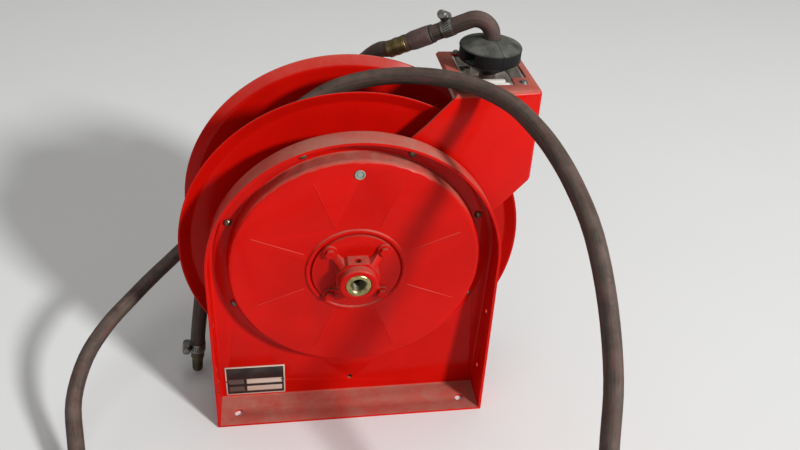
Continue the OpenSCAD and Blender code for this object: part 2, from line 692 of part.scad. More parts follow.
// Swivel outlet: up from the arbor, round a corner, into the inner hose
module outlet_elbow() color([0.70, 0.55, 0.30]) translate([0, spool_mid, axis_height]) difference() {
  union() {
    translate([0, 0, arbor_radius - 0.5])
      cylinder(r = elbow_radius, h = elbow_out + elbow_cap - arbor_radius);
    translate([0, 0, elbow_out]) rotate([0, 90, 0]) cylinder(r = elbow_radius, h = elbow_reach - 7);
    translate([elbow_reach - 7, 0, elbow_out]) rotate([0, 90, 0]) cylinder(r = hose_radius, h = 7, $fn = 6);
  }
  rotate([-90, 0, 0]) cylinder(r = arbor_radius + fit, h = 4 * elbow_radius, center = true);
  cylinder(r = 4, h = elbow_out);
  translate([0, 0, elbow_out]) rotate([0, 90, 0]) cylinder(r = 4, h = elbow_reach + 1);
}
module inner_hose() color(hose_colour) intersection() {
  translate([elbow_reach, spool_mid, axis_height + elbow_out]) rotate([0, 90, 0])
    ring(hose_radius, hose_bore / 2, drum_radius);
  on_axis(disc_back) cylinder(r = drum_radius + gap / 2, h = spool_width);
}

// Outer shape of the hose wound on the drum: its top layer shows as rounded turns
turns_across = floor(spool_width / hose_size);
coil_pitch = hose_size + 0.4;
first_layer = drum_radius + gap + hose_radius;
top_layer = first_layer + (hose_layers - 1) * layer_step;
// The turn that leaves the drum lies in a groove of its own
open_turn = turns_across - 2;
function turn_offset(i) = (i - (turns_across - 1) / 2) * coil_pitch;
module wound_hose() color(hose_colour) on_axis(spool_mid) rotate_extrude() difference() {
  span = turns_across * coil_pitch;
  union() {
    translate([drum_radius + gap, -span / 2 + 1]) square([top_layer - drum_radius - gap, span - 2]);
    for (i = [0 : turns_across - 1]) if (i != open_turn)
      translate([top_layer, turn_offset(i)]) circle(r = hose_radius, $fn = 32);
  }
  translate([top_layer, lead_y - spool_mid]) circle(r = hose_radius + gap);
  translate([top_layer, lead_y - spool_mid - hose_radius - gap]) square([hose_size, hose_size + 2 * gap]);
}

// ---------------------------------------------------------------- guide arm
// Prism along the arm's direction from a distance on, with the given width
module arm_strip(from, width, y0, y1) translate([0, 0, axis_height]) sheet_xz(y0, y1)
  rotate([0, 0, arm_turn]) translate([from, -width / 2]) square([3 * frame_half_width, width]);
// Line of the arm's front: flat behind the frame plate, then leaning back; set in by an amount
function arm_line(inset) = [
  [arm_tab_start - inset, frame_sheet + inset],
  [arm_tab_end - inset * tan(arm_lean / 2), frame_sheet + inset],
  [arm_reach, frame_sheet + inset / cos(arm_lean) + (arm_reach - arm_tab_end) * tan(arm_lean)]];
// Space behind that line, below the arm's top and inside its side
module arm_space(inset) intersection() {
  translate([0, 0, axis_height]) rotate([0, -arm_turn, 0]) translate([0, 0, -arm_reach])
    linear_extrude(2 * arm_reach) polygon(concat(arm_line(inset),
      [[arm_reach, arm_rear + inset], [arm_tab_start - inset, arm_rear + inset]]));
  translate([-arm_reach, 0, 0])
    cube([arm_reach + arm_side - inset, arm_rear + 2 * inset + cut, arm_top - inset]);
}
// Window over the rollers, with a narrower end over the bracket's ledge
window_front = bracket_front + 11.5;
window_end = [roller_mid_x - 15.5, roller_mid_x + 17.5];
module arm_window() translate([0, 0, arm_top - arm_sheet - cut]) {
  translate([bracket_left + 4.2, window_front, 0])
    cube([bracket_right - bracket_left - 7.2, bracket_rear - bracket_wall_y - window_front,
      arm_sheet + 2 * cut]);
  translate([window_end[0], bracket_front - ledge_depth + 1.5, 0])
    cube([window_end[1] - window_end[0], window_front + ledge_depth - bracket_front, arm_sheet + 2 * cut]);
}
bracket_screw = 3.6;
bracket_screw_depth = 6.5;
bracket_screw_places = [[arm_side - 15.5, bracket_front - 1], [bracket_left + 9, bracket_rear - 3]];
module guide_arm() color(red) difference() {
  intersection() {
    difference() {
      arm_space(0);
      arm_space(arm_sheet);
    }
    arm_strip(0, arm_width, 0, arm_rear + cut);
  }
  arm_window();
  for (a = arm_angles) at_polar(case_screw_circle, a)
    disc_y(case_screw / 2 + bolt_play, frame_sheet - cut, frame_sheet + arm_sheet + cut);
  for (s = bracket_screw_places) translate([s[0], s[1], arm_top - arm_sheet - cut])
    cylinder(r = bracket_screw / 2 + bolt_play, h = arm_sheet + 2 * cut);
}

// ---------------------------------------------------------------- rollers
module roller_bracket() color([0.93, 0.90, 0.82]) difference() {
  union() {
    translate([bracket_left, bracket_front, bracket_low])
      cube([bracket_right - bracket_left, bracket_rear - bracket_front, bracket_top - bracket_low]);
    // ledge for the front screw
    translate([window_end[0] - 3.5, bracket_front - ledge_depth, bracket_top - ledge_depth])
      cube([bracket_right - window_end[0], ledge_depth + cut, ledge_depth]);
  }
  translate([bracket_left + bracket_wall_x, bracket_front + bracket_wall_y, bracket_low - cut])
    cube([bracket_right - bracket_left - 2 * bracket_wall_x,
      bracket_rear - bracket_front - 2 * bracket_wall_y, bracket_top - bracket_low + 2 * cut]);
  pin_cuts(pin_size / 2 + fit);
  for (s = bracket_screw_places) translate([s[0], s[1], bracket_top - bracket_screw_depth - cut])
    cylinder(d = bracket_screw + 2 * fit, h = bracket_screw_depth + 2 * cut);
}
long_axes = [for (side = [-1, 1]) roller_mid_x + side * long_half_gap];
short_axes = [for (side = [-1, 1]) roller_mid_y + side * roller_pitch_y / 2];
module long_rod(x, r, inset) translate([x, bracket_front + inset, long_axis_z]) rotate([-90, 0, 0])
  cylinder(r = r, h = bracket_rear - bracket_front - 2 * inset);
module short_rod(y, r, inset) translate([bracket_left + inset, y, short_axis_z]) rotate([0, 90, 0])
  cylinder(r = r, h = bracket_right - bracket_left - 2 * inset);
module pin_cuts(r) {
  for (x = long_axes) long_rod(x, r, -cut);
  for (y = short_axes) short_rod(y, r, -cut);
}
module roller_pins() color(zinc) {
  for (x = long_axes) long_rod(x, pin_size / 2, 0.3);
  for (y = short_axes) short_rod(y, pin_size / 2, 0.3);
}
// A roller along its own Z, with a bore and rounded ends
module roller_shape(length) color([0.95, 0.93, 0.86]) difference() {
  rotate_extrude() polygon(concat([[0, -length / 2]],
    arc([roller_radius - 1.5, -length / 2 + 1.5], 1.5, -90, 0, 4),
    arc([roller_radius - 1.5, length / 2 - 1.5], 1.5, 0, 90, 4), [[0, length / 2]]));
  cylinder(r = pin_size / 2 + pin_clearance, h = length + 2, center = true);
}
module long_roller(x) translate([x, roller_mid_y, long_axis_z]) rotate([-90, 0, 0]) roller_shape(long_length);
module short_roller(y) translate([roller_mid_x, y, short_axis_z]) rotate([0, 90, 0])
  roller_shape(short_length);
module left_roller() long_roller(long_axes[0]);
module right_roller() long_roller(long_axes[1]);
module front_roller() short_roller(short_axes[0]);
module rear_roller() short_roller(short_axes[1]);

module bracket_screws() color(zinc) for (s = bracket_screw_places) translate([s[0], s[1], 0]) {
  translate([0, 0, bracket_top - bracket_screw_depth])
    cylinder(d = bracket_screw, h = bracket_screw_depth + arm_sheet + join);
  translate([0, 0, arm_top]) cylinder(r1 = 4.4, r2 = 2.6, h = 2.2);
}

// ---------------------------------------------------------------- hose stop
module bumper_half(side) color([0.09, 0.09, 0.09]) translate([lead_x, lead_y, 0]) rotate([0, 0, bumper_turn])
  difference() {
    rotate_extrude() polygon(concat(
      [[hose_radius + fit, bumper_base], [11.5, bumper_base]],
      arc([bumper_radius - 2, bumper_wall_z + 2], 2, -45, 0, 4),
      arc([bumper_radius - 2.5, bumper_top_z - 2.5], 2.5, 0, 60, 4),
      [[12.5, bumper_top_z + bumper_cone_top], [hose_radius + fit, bumper_top_z + bumper_cone_top]]));
    translate([side > 0 ? bumper_gap / 2 - bumper_block : -bumper_gap / 2, -bumper_block / 2,
      bumper_base - cut])
      cube([bumper_block, bumper_block, bumper_block]);
    for (y = [-bumper_bolt_offset, bumper_bolt_offset]) translate([0, y, bumper_bolt_z]) rotate([0, 90, 0])
      cylinder(r = bumper_bolt / 2 + fit, h = bumper_block, center = true);
    for (y = [-bumper_bolt_offset, bumper_bolt_offset])
      translate([side > 0 ? bumper_pocket : -bumper_pocket - bumper_block, y - 6, bumper_bolt_z - 5])
        cube([bumper_block, 12, 10]);
  }
module bumper_left() bumper_half(-1);
module bumper_right() bumper_half(1);
module bumper_bolts() color(zinc) translate([lead_x, lead_y, 0]) rotate([0, 0, bumper_turn])
  for (y = [-bumper_bolt_offset, bumper_bolt_offset]) translate([0, y, bumper_bolt_z]) rotate([0, 90, 0]) {
    cylinder(r = bumper_bolt / 2, h = 2 * bumper_pocket + 8, center = true);
    translate([0, 0, bumper_pocket]) cylinder(r = 4.6, h = 3.5, $fn = 6);
    translate([0, 0, -bumper_pocket - 3.5]) cylinder(r = 4.6, h = 3.5, $fn = 6);
  }

// ---------------------------------------------------------------- latch
// Angle of the engaged tip round the reel axis, from straight down
pawl_tip_x = pawl_length * sin(pawl_engaged);
pawl_tip_z = -pawl_offset + pawl_length * cos(pawl_engaged);
notch_offset = atan2(pawl_tip_x, -pawl_tip_z);
module latch_pawl() color([0.5, 0.5, 0.5]) translate([0, pawl_face, axis_height - pawl_offset])
  rotate([0, pawl_rest, 0]) difference() {
    union() {
      rotate([-90, 0, 0]) cylinder(r = pawl_pin_size / 2 + 4, h = pawl_thick);
      sheet_xz(0, pawl_thick) polygon([[-6, 0], [-2.5, pawl_length], [2.5, pawl_length], [6, 0]]);
    }
    disc_y(pawl_pin_size / 2 + pin_clearance, -cut, pawl_thick + cut);
  }
module pawl_pin() color(zinc) at_polar(pawl_offset, 270) disc_y(pawl_pin_size / 2, 0, front_disc_y - 0.6);
module pawl_spacer() color(zinc) at_polar(pawl_offset, 270) difference() {
  disc_y(pawl_pin_size / 2 + spacer_wall, frame_sheet, pawl_face - 0.1);
  disc_y(pawl_pin_size / 2 + fit, frame_sheet - cut, pawl_face + cut);
}
module pawl_spring() color([0.3, 0.3, 0.32]) translate([0, frame_sheet + 1.2, axis_height - pawl_offset])
  rotate([-90, 0, 0]) rotate_extrude() for (i = [0 : 4])
    translate([pawl_pin_size / 2 + spacer_wall + gap + spring_wire / 2, i * spring_wire * 0.94])
      circle(r = spring_wire / 2, $fn = 16);
module pawl_clip() color(zinc) at_polar(pawl_offset, 270) difference() {
  disc_y(pawl_pin_size / 2 + 2.5, pawl_back + 0.1, pawl_back + 0.9);
  disc_y(pawl_pin_size / 2 + fit, pawl_back - cut, pawl_back + 2);
}

// ---------------------------------------------------------------- reel hose and its end
// Local frame of the hose above the stop: X towards the coupling, Z up
module tail_frame() translate([lead_x, lead_y, 0]) rotate([0, 0, tail_turn]) children();
// A distance along the straight end of the reel hose
module on_tail(d) tail_frame() translate([tail_s + d * sin(tail_angle), 0, tail_z + d * cos(tail_angle)])
  rotate([0, tail_angle, 0]) children();
function tail_point(d) = let (s = tail_s + d * sin(tail_angle))
  [lead_x + s * cos(tail_turn), lead_y + s * sin(tail_turn), tail_z + d * cos(tail_angle)];

// The reel hose: nearly a whole turn in the coil's groove, a straight lean to the rollers,
// up through the stop, and over a tight bend to its coupling. Points are X and height here.
lead_turn = 326;
guide_height = long_axis_z - axis_height;
lean = acos(top_layer / norm([lead_x, guide_height])) - atan2(guide_height, lead_x);
lean_easing = 15;
lead_path = concat(
  arc([0, 0], top_layer, -lean - lead_turn, -lean, 44),
  [[lead_x, guide_height] - lean_easing * [sin(lean), cos(lean)], [lead_x, guide_height + lean_easing]]);
tail_path = concat(
  [for (i = [0 : 14]) let (a = tail_angle * i / 14) tail_bend * [1 - cos(a), sin(a)]],
  [[tail_s, tail_z - tail_start_z] + tail_straight * [sin(tail_angle), cos(tail_angle)]]);
reel_line = concat(
  [for (p = lead_path) [p[0], lead_y, axis_height + p[1]]],
  [for (p = tail_path) [lead_x + p[0] * cos(tail_turn), lead_y + p[0] * sin(tail_turn),
    tail_start_z + p[1]]]);
module reel_hose() color(hose_colour) difference() {
  swept_tube(reel_line, tangents(reel_line, [sin(lean + lead_turn), 0, cos(lean + lead_turn)],
    unit(tail_point(1) - tail_point(0))), hose_radius, 18);
  on_tail(tail_straight - bore_depth) cylinder(r = hose_bore / 2, h = bore_depth + cut, $fn = 32);
}
bore_depth = 26;

// Worm-drive clamp round a hose along its own Z, its housing towards -X
worm_axis = hose_radius + band_thick + 3.8;
worm_radius = 2.8;
worm_head = 4.8;
housing_ends = [-7, 7.5];
clamp_turn = 27;
module clamp_band() {
  ring(hose_radius + fit + band_thick, hose_radius + fit, clamp_width);
  difference() {
    union() {
      translate([-worm_axis, housing_ends[1], clamp_width / 2]) rotate([90, 0, 0])
        cylinder(r = worm_head, h = housing_ends[1] - housing_ends[0]);
      translate([-worm_axis, housing_ends[0], clamp_width / 2 - worm_head])
        cube([worm_head, housing_ends[1] - housing_ends[0], 2 * worm_head]);
    }
    translate([-worm_axis, 30, clamp_width / 2]) rotate([90, 0, 0]) cylinder(r = worm_radius + fit, h = 60);
    translate([0, 0, -cut]) cylinder(r = hose_radius + fit + band_thick / 2, h = clamp_width + 2 * cut);
  }
}
module clamp_screw() translate([-worm_axis, housing_ends[1] + 1, clamp_width / 2]) rotate([90, 0, 0]) {
  cylinder(r = worm_radius, h = 18);
  difference() {
    translate([0, 0, -4.4]) cylinder(r1 = worm_head - 0.6, r2 = worm_head, h = 0.6);
    translate([-0.7, -6, -4.4 - cut]) cube([1.4, 12, 1.6 + cut]);
  }
  difference() {
    translate([0, 0, -3.8]) cylinder(r = worm_head, h = 4.4);
    translate([-0.7, -6, -4.4 - cut]) cube([1.4, 12, 1.6 + cut]);
  }
}
module at_tail_clamp() on_tail(clamp_centre - clamp_width / 2) rotate([0, 0, clamp_turn]) children();
module tail_clamp() color(zinc) at_tail_clamp() clamp_band();
module tail_clamp_screw() color(zinc) at_tail_clamp() clamp_screw();

barb_gap = 0.1;
module hose_coupling() color([0.35, 0.33, 0.30]) on_tail(tail_straight) difference() {
  union() {
    translate([0, 0, 2 - bore_depth]) cylinder(r = hose_bore / 2 - barb_gap, h = bore_depth);
    cylinder(r = hose_radius + 1.1, h = coupling_length);
    cylinder(r = hose_bore / 2 - barb_gap, h = coupling_length + ferrule_length - 2);
  }
  translate([0, 0, -bore_depth]) cylinder(r = 3.2, h = 2 * bore_depth + ferrule_length);
}
module crimp_ferrule() color([0.38, 0.30, 0.26]) on_tail(tail_straight + coupling_length) difference() {
  rotate_extrude() polygon([
    [0, 0], [10, 0], [10.4, 4], [10.4, ferrule_length - 9], [10, ferrule_length - 5],
    [9.3, ferrule_length - 3], [9, ferrule_length], [0, ferrule_length]]);
  translate([0, 0, -cut]) cylinder(r = hose_bore / 2, h = ferrule_length + 2 * cut);
}

// ---------------------------------------------------------------- free hose
ferrule_end = tail_point(tail_straight + coupling_length + ferrule_length) + [0, plate_y, 0];
ferrule_way = unit(tail_point(1) - tail_point(0));
full_route = concat([ferrule_end, ferrule_end + 20 * ferrule_way], route);

// Smooth curve through the route's points, with a ring at each point and one between
function curve_point(p0, p1, p2, p3, t) = 0.5 * (2 * p1 + (p2 - p0) * t
  + (2 * p0 - 5 * p1 + 4 * p2 - p3) * t * t + (3 * p1 - p0 - 3 * p2 + p3) * t * t * t);
function centre_line(p) = let (n = len(p)) concat(
  [for (i = [0 : n - 2]) let (a = p[max(i - 1, 0)], b = p[i], c = p[i + 1], d = p[min(i + 2, n - 1)],
    steps = norm(c - b) > 40 ? 2 : 1) each [for (k = [0 : steps - 1]) curve_point(a, b, c, d, k / steps)]],
  [p[n - 1]]);
function tangents(c, first, last) = let (n = len(c))
  [for (i = [0 : n - 1]) i == 0 ? first : i == n - 1 ? last : unit(c[i + 1] - c[i - 1])];
function carried(t, i) = i == 0 ? [unit(cross(t[0], [0, 0, 1]))]
  : let (before = carried(t, i - 1), m = before[i - 1], p = m - (m * t[i]) * t[i]) concat(before, [unit(p)]);

// A tube with the given number of sides along points c with tangents t
module swept_tube(c, t, r, sides) {
  n = len(c);
  m = carried(t, n - 1);
  points = [for (i = [0 : n - 1], k = [0 : sides - 1]) let (a = 360 * k / sides)
    c[i] + r * (cos(a) * m[i] + sin(a) * cross(t[i], m[i]))];
  walls = [for (i = [0 : n - 2], k = [0 : sides - 1]) let (a = i * sides + k,
    b = i * sides + (k + 1) % sides) each [[a, a + sides, b], [b, a + sides, b + sides]]];
  first_cap = [for (k = [0 : sides - 1]) k];
  last_cap = [for (k = [sides - 1 : -1 : 0]) (n - 1) * sides + k];
  polyhedron(points, concat([first_cap], walls, [last_cap]));
}
hose_line = centre_line(full_route);
module free_hose() color(hose_colour)
  swept_tube(hose_line, tangents(hose_line, ferrule_way, end_way), hose_radius, 12);

end_turn = 35;
module at_end() along(end_point, end_way) rotate([0, 0, end_turn]) children();
module end_clamp() color(zinc) at_end() translate([0, 0, -clamp_width - 3]) clamp_band();
module end_clamp_screw() color(zinc) at_end() translate([0, 0, -clamp_width - 3]) clamp_screw();
nipple_grip = 8;
nipple_thread = 12;
nipple_length = 28;
module end_nipple() color([0.52, 0.46, 0.30]) at_end() difference() {
  rotate_extrude() polygon([
    [0, 0], [8.2, 0], [8.2, nipple_grip - 1], [7.2, nipple_grip], [7.2, nipple_thread - 1],
    [6.8, nipple_thread], [6.2, nipple_length - 1], [5.6, nipple_length], [0, nipple_length]]);
  translate([0, 0, 2]) cylinder(r = 4, h = nipple_length);
}

on_ground() frame_plate();
on_ground() rear_foot();
on_ground() case_cover();
on_ground() case_screws();
on_ground() case_nuts();
on_ground() cover_plug();
on_ground() maker_plate();
on_ground() plate_rivets();
on_ground() power_spring();
on_ground() spring_anchor_pin();
on_ground() plate_bearing();
on_ground() hub_casting();
on_ground() hub_bolts();
on_ground() hub_backing_ring();
on_ground() set_screw();
on_ground() main_shaft();
on_ground() thrust_washer();
on_ground() shaft_nut();
on_ground() arbor();
on_ground() front_bushing();
on_ground() rear_bushing();
on_ground() shaft_seals();
on_ground() front_disc();
on_ground() rear_disc();
on_ground() drum_core();
on_ground() front_disc_bolts();
on_ground() rear_disc_bolts();
on_ground() disc_nuts();
on_ground() ratchet_ring();
on_ground() outlet_elbow();
on_ground() inner_hose();
on_ground() wound_hose();
on_ground() guide_arm();
on_ground() roller_bracket();
on_ground() bracket_screws();
on_ground() roller_pins();
on_ground() left_roller();
on_ground() right_roller();
on_ground() front_roller();
on_ground() rear_roller();
on_ground() bumper_left();
on_ground() bumper_right();
on_ground() bumper_bolts();
on_ground() latch_pawl();
on_ground() pawl_pin();
on_ground() pawl_spacer();
on_ground() pawl_spring();
on_ground() pawl_clip();
on_ground() reel_hose();
on_ground() tail_clamp();
on_ground() tail_clamp_screw();
on_ground() hose_coupling();
on_ground() crimp_ferrule();
free_hose();
end_clamp();
end_clamp_screw();
end_nipple();
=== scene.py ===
import json
import math

import bmesh
import bpy
from bpy.props import FloatProperty, FloatVectorProperty, PointerProperty
from mathutils import Matrix, Vector


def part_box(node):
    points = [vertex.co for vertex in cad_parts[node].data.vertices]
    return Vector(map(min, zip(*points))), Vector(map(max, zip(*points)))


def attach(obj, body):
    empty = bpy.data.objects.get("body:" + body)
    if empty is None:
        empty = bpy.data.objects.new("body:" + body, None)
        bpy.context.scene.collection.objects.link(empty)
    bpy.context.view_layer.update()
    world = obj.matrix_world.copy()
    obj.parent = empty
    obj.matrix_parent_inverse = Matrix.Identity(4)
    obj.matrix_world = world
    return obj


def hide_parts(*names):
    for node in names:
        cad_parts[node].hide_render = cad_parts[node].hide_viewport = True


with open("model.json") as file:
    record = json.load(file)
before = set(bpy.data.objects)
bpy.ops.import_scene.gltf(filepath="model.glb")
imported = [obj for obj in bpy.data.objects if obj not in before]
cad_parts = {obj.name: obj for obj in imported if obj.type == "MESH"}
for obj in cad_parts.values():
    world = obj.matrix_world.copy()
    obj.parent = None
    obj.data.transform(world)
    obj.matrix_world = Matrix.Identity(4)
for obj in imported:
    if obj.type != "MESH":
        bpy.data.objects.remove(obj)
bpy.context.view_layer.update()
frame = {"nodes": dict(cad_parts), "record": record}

bl_info = {
    "name": "Spring Rewind Hose Reel",
    "version": (1, 0, 0),
    "blender": (4, 5, 0),
    "location": "View3D > Sidebar > Hose Reel",
    "description": "Builds a wall and bench mounted hose reel with its hose, guide arm and frame",
    "category": "Object",
}

NODES = frame["nodes"]
MM = 0.001
UP = Vector((0, 0, 1))
HOSE_SIZE = 17.5 * MM
# Stands in for a radius of nought, which can't be scaled up again
TINY = 1e-6


# ------------------------------------------------------------ places taken from the frame
def middle(node):
    """The middle of a CAD node's box"""
    low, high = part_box(node)
    return (low + high) / 2


DISC_LOW, DISC_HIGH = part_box("front_disc")
# Where the spool's axis crosses the plane of Y = 0
AXIS = Vector(((DISC_LOW.x + DISC_HIGH.x) / 2, 0.0, (DISC_LOW.z + DISC_HIGH.z) / 2))


# ------------------------------------------------------------ general tools
def on_its_own(obj):
    """Selects one piece and nothing else"""
    bpy.ops.object.select_all(action="DESELECT")
    obj.select_set(True)
    bpy.context.view_layer.objects.active = obj


def apply_place(obj):
    """Writes a piece's place, turn and scale into its mesh"""
    on_its_own(obj)
    bpy.ops.object.transform_apply(location=True, rotation=True, scale=True)


def finished(obj, name, body, material, nodes=(), smooth=32):
    """Names a piece, gives it its finish and ties it to the body that it moves with"""
    obj.name = name
    obj.data.name = name
    obj.data.materials.clear()
    obj.data.materials.append(material)
    if obj.type == "MESH":
        on_its_own(obj)
        bpy.ops.object.shade_smooth_by_angle(angle=math.radians(smooth))
    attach(obj, body)
    if nodes:
        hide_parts(*nodes)
    return obj


def bevelled(obj, width, segments=2, angle=35):
    """Rounds the sharp edges of a piece"""
    on_its_own(obj)
    bevel = obj.modifiers.new("edges", "BEVEL")
    bevel.width = width
    bevel.segments = segments
    bevel.limit_method = "ANGLE"
    bevel.angle_limit = math.radians(angle)
    bevel.use_clamp_overlap = True
    bpy.ops.object.modifier_apply(modifier=bevel.name)


def joined(pieces):
    """Makes one mesh of several"""
    bpy.ops.object.select_all(action="DESELECT")
    for piece in pieces:
        piece.select_set(True)
    bpy.context.view_layer.objects.active = pieces[0]
    bpy.ops.object.join()
    return pieces[0]


def block(size):
    """A cube drawn out to a size, with its middle at the origin"""
    bpy.ops.object.select_all(action="DESELECT")
    bpy.ops.mesh.primitive_cube_add(size=1)
    obj = bpy.context.active_object
    obj.scale = size
    bpy.ops.object.transform_apply(location=False, rotation=False, scale=True)
    return obj


def merged_copy(node):
    """A copy of a CAD node whose triangles are joined up and flat faces made whole"""
    mesh = NODES[node].data.copy()
    obj = bpy.data.objects.new(node + "_dressed", mesh)
    bpy.context.scene.collection.objects.link(obj)
    on_its_own(obj)
    bpy.ops.object.mode_set(mode="EDIT")
    bpy.ops.mesh.select_all(action="SELECT")
    bpy.ops.mesh.remove_doubles(threshold=2e-6)
    bpy.ops.mesh.dissolve_limited(angle_limit=math.radians(0.6))
    bpy.ops.object.mode_set(mode="OBJECT")
    return obj


def turned(profile, place, segments=64):
    """A turned piece: rings of (radius, height) drawn out round Z one by one, then placed"""
    bpy.ops.object.select_all(action="DESELECT")
    radius, height = max(profile[0][0], TINY), profile[0][1]
    bpy.ops.mesh.primitive_circle_add(
        vertices=segments, radius=radius, fill_type="NOTHING", location=(0, 0, 0))
    obj = bpy.context.active_object
    bpy.ops.object.mode_set(mode="EDIT")
    bpy.ops.mesh.select_all(action="SELECT")
    bpy.ops.transform.translate(value=(0, 0, height))
    for r, z in profile[1:]:
        r = max(r, TINY)
        bpy.ops.mesh.extrude_region_move(TRANSFORM_OT_translate={"value": (0, 0, z - height)})
        bpy.ops.transform.resize(value=(r / radius, r / radius, 1), center_override=(0, 0, z))
        radius, height = r, z
    bpy.ops.mesh.select_all(action="SELECT")
    bpy.ops.mesh.remove_doubles(threshold=4e-6)
    bpy.ops.mesh.normals_make_consistent(inside=False)
    bpy.ops.object.mode_set(mode="OBJECT")
    obj.matrix_world = place
    apply_place(obj)
    return obj


def rounded(profile, radius, steps=3):
    """The same closed or open profile with its corners rounded"""
    longest_share = 0.45
    nearly_straight = 0.15
    n = len(profile)
    closed = profile[0] == profile[-1]
    points = []
    for i, p in enumerate(profile):
        p = Vector(p)
        if not closed and i in (0, n - 1):
            points.append(tuple(p))
            continue
        a = Vector(profile[i - 1] if i else profile[-2])
        b = Vector(profile[(i + 1) % n] if i < n - 1 else profile[1])
        to_a, to_b = a - p, b - p
        cut = min(radius, to_a.length * longest_share, to_b.length * longest_share)
        if cut < TINY or abs(to_a.angle(to_b) - math.pi) < nearly_straight:
            points.append(tuple(p))
            continue
        start, end = p + to_a.normalized() * cut, p + to_b.normalized() * cut
        for k in range(steps + 1):
            t = k / steps
            points.append(tuple(start * (1 - t) ** 2 + p * 2 * t * (1 - t) + end * t ** 2))
    if closed:
        points[-1] = points[0]
    return points


def facing(centre, way):
    """The placing matrix whose own Z points along way"""
    z = Vector(way).normalized()
    x = UP.cross(z)
    if x.length < 1e-4:
        x = Vector((1, 0, 0))
    x.normalize()
    y = z.cross(x)
    m = Matrix((x, y, z)).transposed().to_4x4()
    m.translation = Vector(centre)
    return m


TO_REAR = Matrix.Rotation(math.radians(-90), 4, "X")


def on_axis(y):
    """Own Z along the reel's axis to the rear, at depth y"""
    return Matrix.Translation((AXIS.x, y, AXIS.z)) @ TO_REAR


def hose_tube(name, line, radius, sides):
    """A closed round tube along a line of points. U runs round it and V along it in metres"""
    count = len(line)
    ways = []
    for i in range(count):
        a, b = line[max(i - 1, 0)], line[min(i + 1, count - 1)]
        ways.append((b - a).normalized())
    across = ways[0].cross(UP)
    if across.length < 0.05:
        across = ways[0].cross(Vector((1, 0, 0)))
    across.normalize()
    mesh = bmesh.new()
    uv = mesh.loops.layers.uv.new("along")
    rings, lengths, run = [], [], 0.0
    for i, point in enumerate(line):
        if i:
            run += (point - line[i - 1]).length
        across = (across - ways[i] * across.dot(ways[i])).normalized()
        other = ways[i].cross(across)
        rings.append([mesh.verts.new(point + radius * (
            math.cos(2 * math.pi * k / sides) * across + math.sin(2 * math.pi * k / sides) * other))
            for k in range(sides)])
        lengths.append(run)
    for i in range(count - 1):
        for k in range(sides):
            j = (k + 1) % sides
            face = mesh.faces.new((rings[i][k], rings[i][j], rings[i + 1][j], rings[i + 1][k]))
            corners = ((k, i), (k + 1, i), (k + 1, i + 1), (k, i + 1))
            for loop, (u, v) in zip(face.loops, corners):
                loop[uv].uv = (u / sides, lengths[v])
    for ring in (rings[0][::-1], rings[-1]):
        cap = mesh.faces.new(ring)
        for loop in cap.loops:
            loop[uv].uv = (0.5, 0.0)
    data = bpy.data.meshes.new(name)
    mesh.to_mesh(data)
    mesh.free()
    obj = bpy.data.objects.new(name, data)
    bpy.context.scene.collection.objects.link(obj)
    return obj


def smooth_line(points, steps=4):
    """A smooth curve through the points"""
    line = []
    n = len(points)
    for i in range(n - 1):
        a, b, c, d = points[max(i - 1, 0)], points[i], points[i + 1], points[min(i + 2, n - 1)]
        for k in range(steps):
            t = k / steps
            line.append(0.5 * (2 * b + (c - a) * t + (2 * a - 5 * b + 4 * c - d) * t * t
                               + (3 * b - a - 3 * c + d) * t ** 3))
    line.append(points[-1])
    return line


